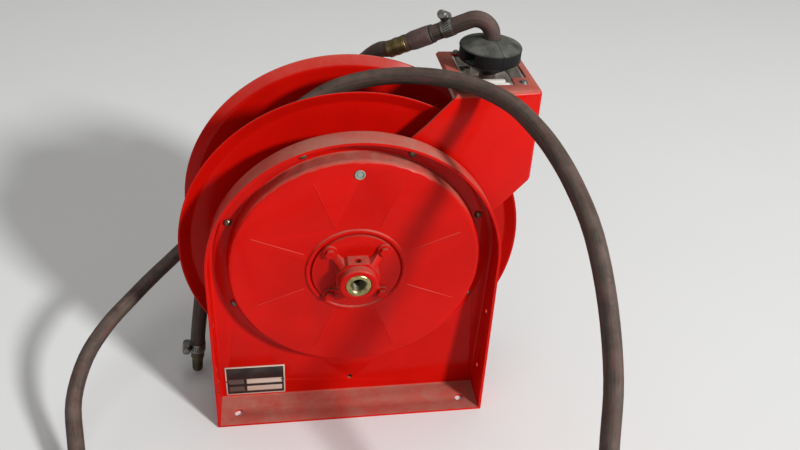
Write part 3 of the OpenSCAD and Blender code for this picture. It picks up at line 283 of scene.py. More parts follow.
# ------------------------------------------------------------ finishes
class Recipe:
    """The nodes of one finish"""

    def __init__(self, name):
        self.material = bpy.data.materials.new(name)
        self.material.use_nodes = True
        self.tree = self.material.node_tree
        self.shader = self.tree.nodes["Principled BSDF"]
        self.places = self.tree.nodes.new("ShaderNodeTexCoord")
        self.where = self.places.outputs["Object"]

    def node(self, kind, **settings):
        """Adds a node with these settings"""
        node = self.tree.nodes.new(kind)
        for key, value in settings.items():
            setattr(node, key, value)
        return node

    def link(self, a, b):
        """Joins an output to an input"""
        self.tree.links.new(a, b)

    def noise(self, scale, detail=3.0, roughness=0.55, where=None):
        """Cloudy noise over the piece"""
        node = self.node("ShaderNodeTexNoise")
        node.inputs["Scale"].default_value = scale
        node.inputs["Detail"].default_value = detail
        node.inputs["Roughness"].default_value = roughness
        self.link(where or self.where, node.inputs["Vector"])
        return node.outputs["Fac"]

    def span(self, value, low, high, to_low=0.0, to_high=1.0):
        """Stretches the values between two bounds over another span"""
        node = self.node("ShaderNodeMapRange", clamp=True)
        node.inputs["From Min"].default_value = low
        node.inputs["From Max"].default_value = high
        node.inputs["To Min"].default_value = to_low
        node.inputs["To Max"].default_value = to_high
        self.link(value, node.inputs["Value"])
        return node.outputs["Result"]

    def sum(self, operation, a, b):
        """One sum on two sockets or numbers"""
        node = self.node("ShaderNodeMath", operation=operation)
        for socket, value in ((node.inputs[0], a), (node.inputs[1], b)):
            if isinstance(value, (int, float)):
                socket.default_value = value
            else:
                self.link(value, socket)
        return node.outputs[0]

    def times(self, a, b):
        """The product of two values"""
        return self.sum("MULTIPLY", a, b)

    def mixed(self, amount, a, b):
        """A colour between two others"""
        node = self.node("ShaderNodeMix", data_type="RGBA")
        self.link(amount, node.inputs["Factor"])
        for key, value in (("A", a), ("B", b)):
            socket = [s for s in node.inputs if s.name == key and s.type == "RGBA"][0]
            if isinstance(value, (tuple, list)):
                socket.default_value = (*value[:3], 1.0)
            else:
                self.link(value, socket)
        return [s for s in node.outputs if s.type == "RGBA"][0]

    def upward(self):
        """How far a surface faces up, from -1 to 1"""
        split = self.node("ShaderNodeSeparateXYZ")
        self.link(self.places.outputs["Normal"], split.inputs[0])
        return split.outputs["Z"]

    def edges(self, radius):
        """High where an edge is sharp"""
        soft = self.node("ShaderNodeBevel", samples=6)
        soft.inputs["Radius"].default_value = radius
        geometry = self.node("ShaderNodeNewGeometry")
        dot = self.node("ShaderNodeVectorMath", operation="DOT_PRODUCT")
        self.link(soft.outputs["Normal"], dot.inputs[0])
        self.link(geometry.outputs["Normal"], dot.inputs[1])
        return self.span(dot.outputs["Value"], 0.89, 0.70)

    def bump(self, height, strength, distance, under=None):
        """Fine relief, laid over another relief where one is given"""
        node = self.node("ShaderNodeBump")
        node.inputs["Strength"].default_value = strength
        node.inputs["Distance"].default_value = distance
        self.link(height, node.inputs["Height"])
        if under is not None:
            self.link(under, node.inputs["Normal"])
        return node.outputs["Normal"]

    def colour(self, value):
        """Sets the finish's colour"""
        self.link(value, self.shader.inputs["Base Color"])

    def roughness(self, value):
        """Sets how dull the finish is"""
        self.link(value, self.shader.inputs["Roughness"])

    def normal(self, value):
        """Sets the finish's relief"""
        self.link(value, self.shader.inputs["Normal"])


def painted(name, paint, dark, dust, worn, rough=0.18, dusting=0.85, grain=None):
    """Enamel on steel: cloudy colour, rubbed edges that also carry a painted highlight, and dust
    where it faces up that is partly painted light from above
    """
    r = Recipe(name)
    cloud = r.span(r.noise(7.0, 4.0), 0.32, 0.70)
    colour = r.mixed(cloud, dark, paint)
    # Edges turn to the lighter worn red: partly rubbed paint, partly a painted highlight along rims
    # and creases
    edge = r.times(r.edges(0.9 * MM), r.span(r.noise(95.0, 4.0), 0.42, 0.66, 0.05, 0.6))
    colour = r.mixed(edge, colour, worn)
    # Faces that look up turn to the dust colour: real dust, and partly a painted light falling from
    # above
    up = r.span(r.upward(), 0.30, 0.92)
    patch = r.span(r.noise(26.0, 5.0, 0.66), 0.28, 0.60, 0.46, 1.0)
    grit = r.span(r.noise(240.0, 3.0), 0.30, 0.66, 0.78, 1.0)
    dirt = r.times(r.times(r.times(up, patch), grit), dusting)
    smear = r.times(r.span(r.noise(15.0, 6.0, 0.7), 0.55, 0.80), 0.010)
    dirt = r.sum("MAXIMUM", dirt, smear)
    r.colour(r.mixed(dirt, colour, dust))
    shine = r.span(r.noise(38.0, 4.0), 0.3, 0.7, rough - 0.04, rough + 0.08)
    r.roughness(r.sum("ADD", shine, r.times(dirt, 0.7)))
    peel = r.bump(r.noise(300.0, 1.0), 0.06, 0.2 * MM)
    if grain:
        peel = r.bump(r.noise(grain[0], 4.0, 0.7), grain[1], grain[2], peel)
    r.normal(peel)
    r.shader.inputs["Specular IOR Level"].default_value = 0.10
    return r.material


def plated(name, bright, dull, stain, rough=0.34, metal=0.9, staining=0.5):
    """Plated or bare metal: a cloudy sheen, fine marks and stains"""
    r = Recipe(name)
    fine = 260.0
    colour = r.mixed(r.span(r.noise(70.0, 4.0), 0.3, 0.7), dull, bright)
    spot = r.times(r.span(r.noise(120.0, 5.0, 0.7), 0.52, 0.70), staining)
    colour = r.mixed(spot, colour, stain)
    edge = r.times(r.edges(0.6 * MM), 0.6)
    r.colour(r.mixed(edge, colour, tuple(min(1.0, c * 1.25) for c in bright)))
    r.roughness(r.sum("ADD", r.span(r.noise(fine, 3.0), 0.3, 0.7, rough - 0.08, rough + 0.12),
                      r.times(spot, 0.3)))
    r.normal(r.bump(r.noise(fine * 2, 2.0), 0.12, 0.15 * MM))
    r.shader.inputs["Metallic"].default_value = metal
    return r.material


def moulded(name, light, dark, dust, rough=0.5, dusting=0.3, grain=600.0, sheen=0.5):
    """Nylon, plastic or rubber: slight colour drift, a moulded grain, dust on top"""
    r = Recipe(name)
    colour = r.mixed(r.span(r.noise(26.0, 4.0), 0.32, 0.7), dark, light)
    up = r.span(r.upward(), 0.15, 0.95)
    patch = r.span(r.noise(60.0, 4.0, 0.6), 0.34, 0.66, 0.3, 1.0)
    dirt = r.times(r.times(up, patch), dusting)
    edge = r.times(r.edges(0.8 * MM), r.span(r.noise(90.0), 0.4, 0.62, 0.1, 0.5))
    colour = r.mixed(edge, colour, dust)
    r.colour(r.mixed(dirt, colour, dust))
    r.roughness(r.sum("ADD", r.span(r.noise(90.0), 0.3, 0.7, rough - 0.06, rough + 0.08),
                      r.times(dirt, 0.3)))
    r.normal(r.bump(r.noise(grain, 2.0), 0.35, 0.1 * MM))
    r.shader.inputs["Specular IOR Level"].default_value = sheen
    return r.material


def hose_cover(name, dark, light, rust, dust):
    """Rubber hose with the fine ridges of its wrapped cure, scuffs and a rusty dusty bloom"""
    r = Recipe(name)
    uv = r.places.outputs["UV"]

    def along(around, length):
        """Coordinates that repeat round the hose and along it"""
        stretch = r.node("ShaderNodeMapping")
        stretch.inputs["Scale"].default_value = (around, length, 1.0)
        r.link(uv, stretch.inputs["Vector"])
        return stretch.outputs["Vector"]

    streak = r.span(r.noise(2.0, 5.0, 0.62, along(11.0, 5.0)), 0.38, 0.64)
    colour = r.mixed(streak, dark, light)
    bloom = r.span(r.noise(2.0, 5.0, 0.70, along(7.0, 16.0)), 0.46, 0.66, 0.0, 0.85)
    colour = r.mixed(bloom, colour, rust)
    up = r.span(r.upward(), -0.1, 0.95)
    dirt = r.times(up, r.span(r.noise(48.0, 5.0, 0.68), 0.34, 0.70, 0.06, 0.62))
    r.colour(r.mixed(dirt, colour, dust))
    r.roughness(r.span(r.noise(140.0), 0.3, 0.7, 0.50, 0.72))
    ridges = r.noise(2.0, 2.0, 0.5, along(16.0, 260.0))
    under = r.bump(ridges, 0.22, 0.15 * MM)
    r.normal(r.bump(r.noise(480.0, 3.0), 0.35, 0.15 * MM, under))
    r.shader.inputs["Specular IOR Level"].default_value = 0.22
    return r.material


def nameplate(name, ink, metal):
    """A printed plate with a border, two pale boxes and two faint ones, all empty of words"""
    r = Recipe(name)
    low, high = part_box("maker_plate")
    centre = (low + high) / 2
    width, height = high.x - low.x, high.z - low.z
    split = r.node("ShaderNodeSeparateXYZ")
    r.link(r.where, split.inputs[0])
    across = r.sum("DIVIDE", r.sum("SUBTRACT", split.outputs["X"], centre.x), width)
    up = r.sum("DIVIDE", r.sum("SUBTRACT", split.outputs["Z"], centre.z), height)

    def box(cx, cz, half_w, half_h):
        """One inside a box given in shares of the plate"""
        inside_x = r.sum("LESS_THAN", r.sum("ABSOLUTE", r.sum("SUBTRACT", across, cx), 0), half_w)
        inside_z = r.sum("LESS_THAN", r.sum("ABSOLUTE", r.sum("SUBTRACT", up, cz), 0), half_h)
        return r.times(inside_x, inside_z)

    upper, lower, half_height = -0.03, -0.29, 0.085
    wide, narrow = (0.15, 0.297), (-0.32, 0.125)
    border = r.sum("SUBTRACT", 1.0, box(0, 0, 0.478, 0.462))
    boxes = r.sum("MAXIMUM", box(wide[0], upper, wide[1], half_height),
                  box(wide[0], lower, wide[1], half_height))
    print_mask = r.sum("MAXIMUM", border, boxes)
    faint = r.sum("MAXIMUM", box(narrow[0], upper, narrow[1], half_height),
                  box(narrow[0], lower, narrow[1], half_height))
    print_mask = r.sum("MAXIMUM", print_mask, r.times(faint, 0.16))
    worn = r.span(r.noise(40.0, 2.0, 0.5), 0.35, 0.75)
    colour = r.mixed(print_mask, ink, metal)
    r.colour(r.mixed(r.times(worn, 0.05), colour, metal))
    r.roughness(r.span(r.noise(90.0), 0.3, 0.7, 0.32, 0.5))
    r.normal(r.bump(print_mask, 0.2, 0.1 * MM))
    r.shader.inputs["Metallic"].default_value = 0.35
    return r.material


LOOKS = {}


def look(name):
    """The finish of that name"""
    return LOOKS[name]


def make_looks():
    """Makes every finish from the colours set in the sidebar"""
    c = bpy.context.scene.reel_colours
    red, deep = tuple(c.paint), tuple(v * 0.72 for v in c.paint)
    LOOKS.update({
        # The last colour of each enamel goes on its edges, as rubbed paint and as a painted
        # highlight
        "red_paint": painted("red_enamel", red, deep, tuple(c.dust), (0.68, 0.06, 0.042)),
        "red_casting": painted("red_cast_iron", red, deep, tuple(c.dust), (0.70, 0.14, 0.11),
                               rough=0.28, dusting=0.5, grain=(190.0, 0.6, 0.8 * MM)),
        "zinc_steel": plated("zinc_plate", (0.32, 0.31, 0.295), (0.12, 0.116, 0.108),
                             (0.06, 0.045, 0.035)),
        "yellow_zinc": plated("yellow_zinc_plate", (0.46, 0.40, 0.17), (0.22, 0.20, 0.08),
                              (0.10, 0.08, 0.04), rough=0.26),
        "aged_brass": plated("aged_brass", (0.24, 0.175, 0.075), (0.105, 0.075, 0.034),
                             (0.06, 0.04, 0.025), rough=0.38),
        # Also used on the clamps' slots, as the hose beneath with painted shade
        "dark_steel": plated("dark_steel", (0.055, 0.045, 0.040), (0.022, 0.018, 0.016),
                             (0.03, 0.02, 0.015), rough=0.5, metal=0.4),
        "olive_brass": plated("olive_brass", (0.115, 0.100, 0.050), (0.050, 0.044, 0.024),
                              (0.05, 0.035, 0.02), rough=0.42, metal=0.7),
        "bronze": plated("turned_bronze", (0.58, 0.38, 0.15), (0.36, 0.22, 0.09),
                         (0.16, 0.09, 0.04)),
        "black_steel": plated("oiled_steel", (0.30, 0.27, 0.19), (0.09, 0.08, 0.06),
                              (0.06, 0.045, 0.03), rough=0.34, metal=0.8),
        "brown_steel": plated("rusty_steel", (0.150, 0.092, 0.080), (0.070, 0.042, 0.038),
                              (0.115, 0.052, 0.034), rough=0.50, metal=0.25, staining=0.8),
        "spring_steel": plated("blued_spring", (0.20, 0.22, 0.26), (0.08, 0.09, 0.12),
                               (0.16, 0.10, 0.06), rough=0.32),
        "black_rubber": moulded("stop_rubber", (0.0065, 0.0062, 0.0065), (0.0035, 0.0035, 0.0035),
                                (0.155, 0.155, 0.135), rough=0.62, dusting=0.75, grain=420.0,
                                sheen=0.2),
        "hose_rubber": hose_cover("hose_rubber", (0.030, 0.024, 0.020), (0.062, 0.050, 0.036),
                                  (0.112, 0.040, 0.040), (0.170, 0.122, 0.100)),
        "cream_nylon": moulded("cream_nylon", (0.90, 0.88, 0.82), (0.80, 0.77, 0.68),
                               (0.50, 0.44, 0.35), rough=0.42, dusting=0.10),
        "grey_plastic": moulded("grey_plastic", (0.28, 0.33, 0.28), (0.19, 0.22, 0.18),
                                (0.38, 0.34, 0.30), rough=0.5, dusting=0.3),
        "black_plate": nameplate("name_plate", (0.018, 0.015, 0.014), (0.62, 0.54, 0.45)),
    })


# ------------------------------------------------------------ settings a user would change
class ReelColours(bpy.types.PropertyGroup):
    paint: FloatVectorProperty(
        name="Paint", description="Enamel of the frame, spool and guide arm",
        subtype="COLOR", size=3, min=0, max=1, default=(0.56, 0.0040, 0.0016))
    # On the enamel this dust colour also serves partly as painted light from above
    dust: FloatVectorProperty(
        name="Dust", description="Dust that lies on faces that look up",
        subtype="COLOR", size=3, min=0, max=1, default=(0.36, 0.170, 0.128))
    floor: FloatVectorProperty(
        name="Floor", description="Pale floor under the reel",
        subtype="COLOR", size=3, min=0, max=1, default=(0.74, 0.745, 0.74))


class ReelSizes(bpy.types.PropertyGroup):
    hose: FloatProperty(
        name="Hose", description="Outside diameter of the hose",
        unit="LENGTH", default=HOSE_SIZE, min=6 * MM, max=40 * MM)
    edge: FloatProperty(
        name="Sheet edges", description="Rounding of the pressed steel's edges",
        unit="LENGTH", default=0.7 * MM, min=0.1 * MM, max=1.4 * MM)


# ------------------------------------------------------------ the hose's line
FERRULE_END = Vector((62.60, 83.21, 415.93)) * MM
FERRULE_WAY = Vector((-0.8131, 0.3335, -0.4772)).normalized()
# Points that the free hose passes through, in millimetres
ROUTE = [
    (32, 102, 398), (5, 121, 364), (-30, 144, 319), (-68, 158, 270), (-103, 162, 224),
    (-136, 160, 182),     (-168, 150, 147), (-197, 133, 122), (-220, 111, 110),
    (-242, 82, 104), (-264, 49, 98), (-286, 12, 92),     (-304, -29, 81), (-312, -74, 62),
    (-306, -115, 42), (-297, -154, 23), (-285, -193, 12),
    (-269, -243, 9),     (-250, -296, 9), (-220, -355, 9), (-180, -415, 9),
    (-115, -455, 9), (-40, -473, 9), (30, -470, 11),     (85, -458, 22), (125, -435, 46),
    (152, -405, 80), (172, -370, 124), (186, -335, 170),
    (194, -300, 214),     (199, -270, 256), (196, -233, 308), (187, -195, 355),
    (176, -157, 383), (163, -124, 402),     (153, -90, 409), (142, -62, 413),
    (126, -36, 414), (106, -15, 414), (79, 6, 411), (45, 25, 404),     (8, 36, 394),
    (-28, 40, 379), (-66, 40, 351), (-100, 40, 320), (-129, 40, 286),
    (-149, 40, 244),     (-162, 38, 198), (-170, 34, 152), (-177, 30, 108), (-183, 25, 70),
    (-186, 22, 45), (-187, 21, 33)]
FIRST_STEP = 20 * MM


def free_line():
    """The free hose's middle, from the ferrule to its threaded end"""
    points = [FERRULE_END, FERRULE_END + FIRST_STEP * FERRULE_WAY]
    points += [Vector(p) * MM for p in ROUTE]
    return smooth_line(points)


# ------------------------------------------------------------ the wound hose and the held end
COIL_LOW, COIL_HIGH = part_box("wound_hose")
COIL_MIDDLE = (COIL_LOW.y + COIL_HIGH.y) / 2
TURNS_ACROSS = 4
COIL_PITCH = (COIL_HIGH.y - COIL_LOW.y - HOSE_SIZE) / (TURNS_ACROSS - 1)
TOP_LAYER = (COIL_HIGH.x - COIL_LOW.x) / 2 - HOSE_SIZE / 2
LAYER_STEP = 15.1 * MM
# Where the hose leaves the drum for the rollers, and how far it lies round the drum before
LEAD = Vector((146, 49, 0)) * MM
LEAD_TURN = math.radians(326)
GUIDE_HEIGHT = middle("left_roller").z - AXIS.z
STOP_TOP = 436.3 * MM
# The tight bend over the stop: its compass turn, how far it bends, its radius and the run after it
TAIL_TURN, TAIL_ANGLE = math.radians(157.7), math.radians(118.5)
TAIL_BEND, TAIL_STRAIGHT = 17 * MM, 42 * MM
TAIL_ACROSS = Vector((math.cos(TAIL_TURN), math.sin(TAIL_TURN), 0))
FERRULE_LENGTH, COLLAR_LENGTH = 29 * MM, 3 * MM


def held_line():
    """Round the spool, up to the rollers, through the stop and over the tight bend"""
    drum_steps, ease_steps, bend_steps = 88, 6, 14
    ease = 15 * MM
    away = math.hypot(LEAD.x, GUIDE_HEIGHT)
    lean = math.acos(TOP_LAYER / away) - math.atan2(GUIDE_HEIGHT, LEAD.x)
    line = []
    first = -lean - LEAD_TURN
    for k in range(drum_steps + 1):
        a = first + LEAD_TURN * k / drum_steps
        line.append(Vector((
            AXIS.x + TOP_LAYER * math.cos(a), LEAD.y, AXIS.z + TOP_LAYER * math.sin(a))))
    bottom = Vector((LEAD.x, LEAD.y, AXIS.z + GUIDE_HEIGHT))
    a = bottom - ease * Vector((math.sin(lean), 0, math.cos(lean)))
    b = bottom + ease * UP
    for k in range(ease_steps + 1):
        t = k / ease_steps
        line.append(a * (1 - t) ** 2 + bottom * 2 * t * (1 - t) + b * t * t)
    start = Vector((LEAD.x, LEAD.y, STOP_TOP))
    for k in range(bend_steps + 1):
        turn = TAIL_ANGLE * k / bend_steps
        line.append(start + TAIL_ACROSS * TAIL_BEND * (1 - math.cos(turn))
                    + UP * TAIL_BEND * math.sin(turn))
    way = TAIL_ACROSS * math.sin(TAIL_ANGLE) + UP * math.cos(TAIL_ANGLE)
    line.append(line[-1] + way * TAIL_STRAIGHT)
    return line


def wound_turn(layer, y, radius, cross):
    """One turn of hose that steps to the next place, or dives a layer, near the angle cross"""
    steps, sides = 96, 14
    crossing = 0.07
    deepest = LAYER_STEP * 0.45
    line = []
    for k in range(steps + 1):
        t = k / steps
        a = cross + 2 * math.pi * t
        dip = max(0.0, (t - 1 + crossing) / crossing) + max(0.0, (crossing - t) / crossing)
        r = layer - deepest * dip ** 1.5
        line.append(Vector((AXIS.x + r * math.cos(a), y, AXIS.z + r * math.sin(a))))
    return hose_tube("turn", line, radius, sides)


def hose_tip():
    """The free hose's end and the way it points there"""
    end = Vector(ROUTE[-1]) * MM
    return end, (end - Vector(ROUTE[-2]) * MM).normalized()


def scaled(profile):
    """A profile given in millimetres"""
    return [(r * MM, z * MM) for r, z in profile]


# ------------------------------------------------------------ clamps and fittings
CLAMP_WIDTH = 12.7 * MM
CLAMP_TURN = math.radians(27)
# How far the clamps lie from the coupling and from the hose's end
STOP_CLAMP_BACK, END_CLAMP_GAP = 25 * MM, 3 * MM
BAND_PLAY, BAND_THICK = 0.05 * MM, 0.8 * MM
WORM_AXIS = 13.35 * MM
WORM_HEAD = 4.8 * MM
WORM_BORE = 2.7 * MM
HOUSING_FOOT, HOUSING_LENGTH, HOUSING_MIDDLE = 8.9 * MM, 14.5 * MM, 0.25 * MM
SCREW_START = 8.5 * MM


def clamp_place(node):
    """Own Z along the hose and own -X towards the housing, as the clamp's CAD node lies"""
    if node == "tail_clamp":
        way = FERRULE_WAY
        back = FERRULE_LENGTH + COLLAR_LENGTH + TAIL_STRAIGHT - STOP_CLAMP_BACK
        start = FERRULE_END - way * back
        x = TAIL_ACROSS * math.cos(TAIL_ANGLE) - UP * math.sin(TAIL_ANGLE)
        x = Matrix.Rotation(CLAMP_TURN, 3, way) @ x
    else:
        end, way = hose_tip()
        start = end - way * (CLAMP_WIDTH / 2 + END_CLAMP_GAP)
        x = start - middle(node)
        x = (x - way * x.dot(way)).normalized()
    m = Matrix((x, way.cross(x), way)).transposed().to_4x4()
    m.translation = start - way * CLAMP_WIDTH / 2
    return m


def clamp_band(hose_radius):
    """A band with a housing over its overlap, and apart from it dark pieces where the band is
    slotted for the worm: the hose beneath with painted shade
    """
    inner = hose_radius + BAND_PLAY
    outer = inner + BAND_THICK
    w = CLAMP_WIDTH
    strip = [(inner, 0), (outer, 0), (outer, w), (inner, w), (inner, 0)]
    band = turned(rounded(strip, 0.25 * MM, 2), Matrix.Identity(4), 96)
    slot_step, slot_count, slot_lean = math.radians(15), 19, math.radians(9)
    slot_size = (0.35 * MM, 1.2 * MM, w * 0.62)
    slot_middle = outer - 0.10 * MM
    slots = []
    for k in range(slot_count):
        slot = block(slot_size)
        bevelled(slot, 0.12 * MM, 1)
        slot.matrix_world = Matrix.Rotation((k - slot_count // 2) * slot_step, 4, "Z") @ (
            Matrix.Translation((slot_middle, 0, w / 2)) @ Matrix.Rotation(slot_lean, 4, "X"))
        apply_place(slot)
        slots.append(slot)
    house = block((WORM_AXIS - HOUSING_FOOT, HOUSING_LENGTH, 2 * WORM_HEAD))
    bevelled(house, 0.9 * MM, 3)
    house.matrix_world = Matrix.Translation(
        (-(WORM_AXIS + HOUSING_FOOT) / 2, HOUSING_MIDDLE, w / 2))
    apply_place(house)
    half = HOUSING_LENGTH / 2
    barrel = turned(rounded([(WORM_BORE, -half), (WORM_HEAD, -half), (WORM_HEAD, half),
                             (WORM_BORE, half), (WORM_BORE, -half)], 0.7 * MM),
                    facing((-WORM_AXIS, HOUSING_MIDDLE, w / 2), (0, 1, 0)), 40)
    return joined([band, house, barrel]), joined(slots)


def clamp_screw():
    """The worm screw with its round slotted head"""
    place = Matrix.Translation((-WORM_AXIS, SCREW_START, CLAMP_WIDTH / 2)) @ Matrix.Rotation(
        math.radians(90), 4, "X")
    shank = turned(rounded(scaled([(0, 18), (2.2, 18), (2.75, 17.2), (2.75, 0), (0, 0)]), 0.3 * MM),
                   place, 32)
    head_front = -4.4
    head = turned(rounded(scaled([(0, 0.6), (4.8, 0.6), (4.8, -3.7), (4.0, head_front),
                                  (0, head_front)]), 0.5 * MM), place, 40)
    cutter = block((1.4 * MM, 12 * MM, 3.2 * MM))
    cutter.matrix_world = place @ Matrix.Translation((0, 0, head_front * MM))
    apply_place(cutter)
    on_its_own(head)
    slot = head.modifiers.new("slot", "BOOLEAN")
    slot.object = cutter
    bpy.ops.object.modifier_apply(modifier=slot.name)
    bpy.data.objects.remove(cutter)
    return joined([shank, head])


def crimp(obj, start, way):
    """Presses faint flats round the ferrule"""
    flats, depth = 8, 0.22 * MM
    plain_back, plain_front = 1.5 * MM, 3 * MM
    skin = 8 * MM
    across = way.cross(UP).normalized()
    other = way.cross(across)
    for vertex in obj.data.vertices:
        rel = vertex.co - start
        along = rel.dot(way)
        if not plain_back < along < FERRULE_LENGTH - plain_front:
            continue
        out = rel - way * along
        if out.length < skin:
            continue
        angle = math.atan2(out.dot(other), out.dot(across))
        wave = math.cos(flats * angle)
        vertex.co -= out.normalized() * depth * (0.5 - 0.5 * wave) ** 2
    obj.data.update()


# ------------------------------------------------------------ camera, floor and lights
CAMERA_PLACE = (-0.0814, -0.6936, 0.7321)
CAMERA_RIGHT = Vector((0.9871, -0.1465, 0.0645))
CAMERA_FORWARD = Vector((0.1567, 0.8016, -0.5769))
CAMERA_LENS, CAMERA_SENSOR = 34.38, 36.0
WORLD_COLOUR, WORLD_STRENGTH = (1.0, 0.985, 0.965, 1.0), 0.27
# Name, place, size across and watts
LAMPS = (
    ("key", (3.95, -4.38, 3.5), 0.85, 495.0),
    ("fill", (-2.4, -2.6, 1.9), 2.2, 10.0),
    ("top", (0.2, 0.4, 2.4), 1.6, 11.0))
LAMPS_LOOK_AT = Vector((0.05, 0.0, 0.15))


class REEL_OT_camera(bpy.types.Operator):
    """Adds the camera"""
    bl_idname = "reel.camera"
    bl_label = "Camera"

    def execute(self, context):
        bpy.ops.object.select_all(action="DESELECT")
        bpy.ops.object.camera_add(location=CAMERA_PLACE)
        camera = context.active_object
        camera.name = "camera"
        right = CAMERA_RIGHT.normalized()
        forward = CAMERA_FORWARD.normalized()
        right = (right - forward * right.dot(forward)).normalized()
        up = right.cross(forward)
        turn = Matrix((right, up, -forward)).transposed().to_4x4()
        turn.translation = camera.location
        camera.matrix_world = turn
        camera.data.lens = CAMERA_LENS
        camera.data.sensor_width = CAMERA_SENSOR
        camera.data.clip_start = 0.01
        context.scene.camera = camera
        return {"FINISHED"}


class REEL_OT_stage(bpy.types.Operator):
    """Adds the pale floor and soft studio lights"""
    bl_idname = "reel.stage"
    bl_label = "Floor and lights"

    def execute(self, context):
        bpy.ops.object.select_all(action="DESELECT")
        bpy.ops.mesh.primitive_plane_add(size=9.0, location=(0, 0, 0))
        floor = context.active_object
        floor.name = "floor"
        r = Recipe("floor_paint")
        tone = tuple(context.scene.reel_colours.floor)
        r.colour(r.mixed(r.span(r.noise(3.0, 3.0), 0.3, 0.7), tuple(v * 0.985 for v in tone), tone))
        r.shader.inputs["Roughness"].default_value = 0.8
        floor.data.materials.append(r.material)
        world = bpy.data.worlds.new("studio")
        context.scene.world = world
        world.use_nodes = True
        back = world.node_tree.nodes["Background"]
        back.inputs["Color"].default_value = WORLD_COLOUR
        back.inputs["Strength"].default_value = WORLD_STRENGTH
        for name, place, size, power in LAMPS:
            bpy.ops.object.light_add(type="AREA", location=place)
            lamp = context.active_object
            lamp.name = name
            lamp.data.shape = "DISK"
            lamp.data.size = size
            lamp.data.energy = power
            way = LAMPS_LOOK_AT - Vector(place)
            lamp.rotation_euler = way.to_track_quat("-Z", "Y").to_euler()
        context.scene.view_settings.view_transform = "Standard"
        return {"FINISHED"}


# ------------------------------------------------------------ pieces
class REEL_OT_free_hose(bpy.types.Operator):
    """Adds the hose end that runs from the coupling over the reel to its threaded end"""
    bl_idname = "reel.free_hose"
    bl_label = "Free hose"

    def execute(self, context):
        line = free_line()
        size = context.scene.reel_sizes.hose
        hose = hose_tube("delivery_hose", line, size / 2, 20)
        finished(hose, "delivery_hose", "frame", look("hose_rubber"),
                 ("free_hose",), smooth=60)
        return {"FINISHED"}


class REEL_OT_reel_hose(bpy.types.Operator):
    """Adds the hose's last turn on the spool, its run up through the stop and its tight bend"""
    bl_idname = "reel.reel_hose"
    bl_label = "Hose through the stop"

    def execute(self, context):
        size = context.scene.reel_sizes.hose
        hose = hose_tube("reel_hose_end", held_line(), size / 2, 22)
        finished(hose, "reel_hose_end", "frame", look("hose_rubber"),
                 ("reel_hose",), smooth=60)
        return {"FINISHED"}


class REEL_OT_wound_hose(bpy.types.Operator):
    """Winds the hose on the drum, turn beside turn, with a step over at the end of each"""
    bl_idname = "reel.wound_hose"
    bl_label = "Wound hose"

    def execute(self, context):
        radius = context.scene.reel_sizes.hose / 2
        turns = []
        # The top layer's missing turn is the one that leaves for the rollers
        for depth, starts in ((0, (-1.5, -0.5, 1.5)), (1, (-1.5, -0.5, 0.5, 1.5))):
            for index, start in enumerate(starts):
                layer = TOP_LAYER - depth * LAYER_STEP
                turns.append(wound_turn(layer, COIL_MIDDLE + start * COIL_PITCH, radius,
                                        math.radians(200 + 37 * index + 90 * depth)))
        finished(joined(turns), "wound_turns", "spool", look("hose_rubber"),
                 ("wound_hose",), smooth=60)
        return {"FINISHED"}


class REEL_OT_clamps(bpy.types.Operator):
    """Adds the two worm drive clamps with their slotted bands, housings and screws"""
    bl_idname = "reel.clamps"
    bl_label = "Hose clamps"

    def execute(self, context):
        size = context.scene.reel_sizes.hose
        for name, node, screw in (("stop_clamp", "tail_clamp", "tail_clamp_screw"),
                                  ("end_clamp", "end_clamp", "end_clamp_screw")):
            place = clamp_place(node)
            band, slots = clamp_band(size / 2)
            for piece in (band, slots):
                piece.matrix_world = place
                apply_place(piece)
            finished(band, name + "_band", "frame", look("zinc_steel"), (node,), 40)
            # The slots' dark finish is the hose showing through them, with painted shade
            finished(slots, name + "_slots", "frame", look("dark_steel"), (), 40)
            bolt = clamp_screw()
            bolt.matrix_world = place
            apply_place(bolt)
            finished(bolt, name + "_worm", "frame", look("zinc_steel"), (screw,), 35)
        return {"FINISHED"}


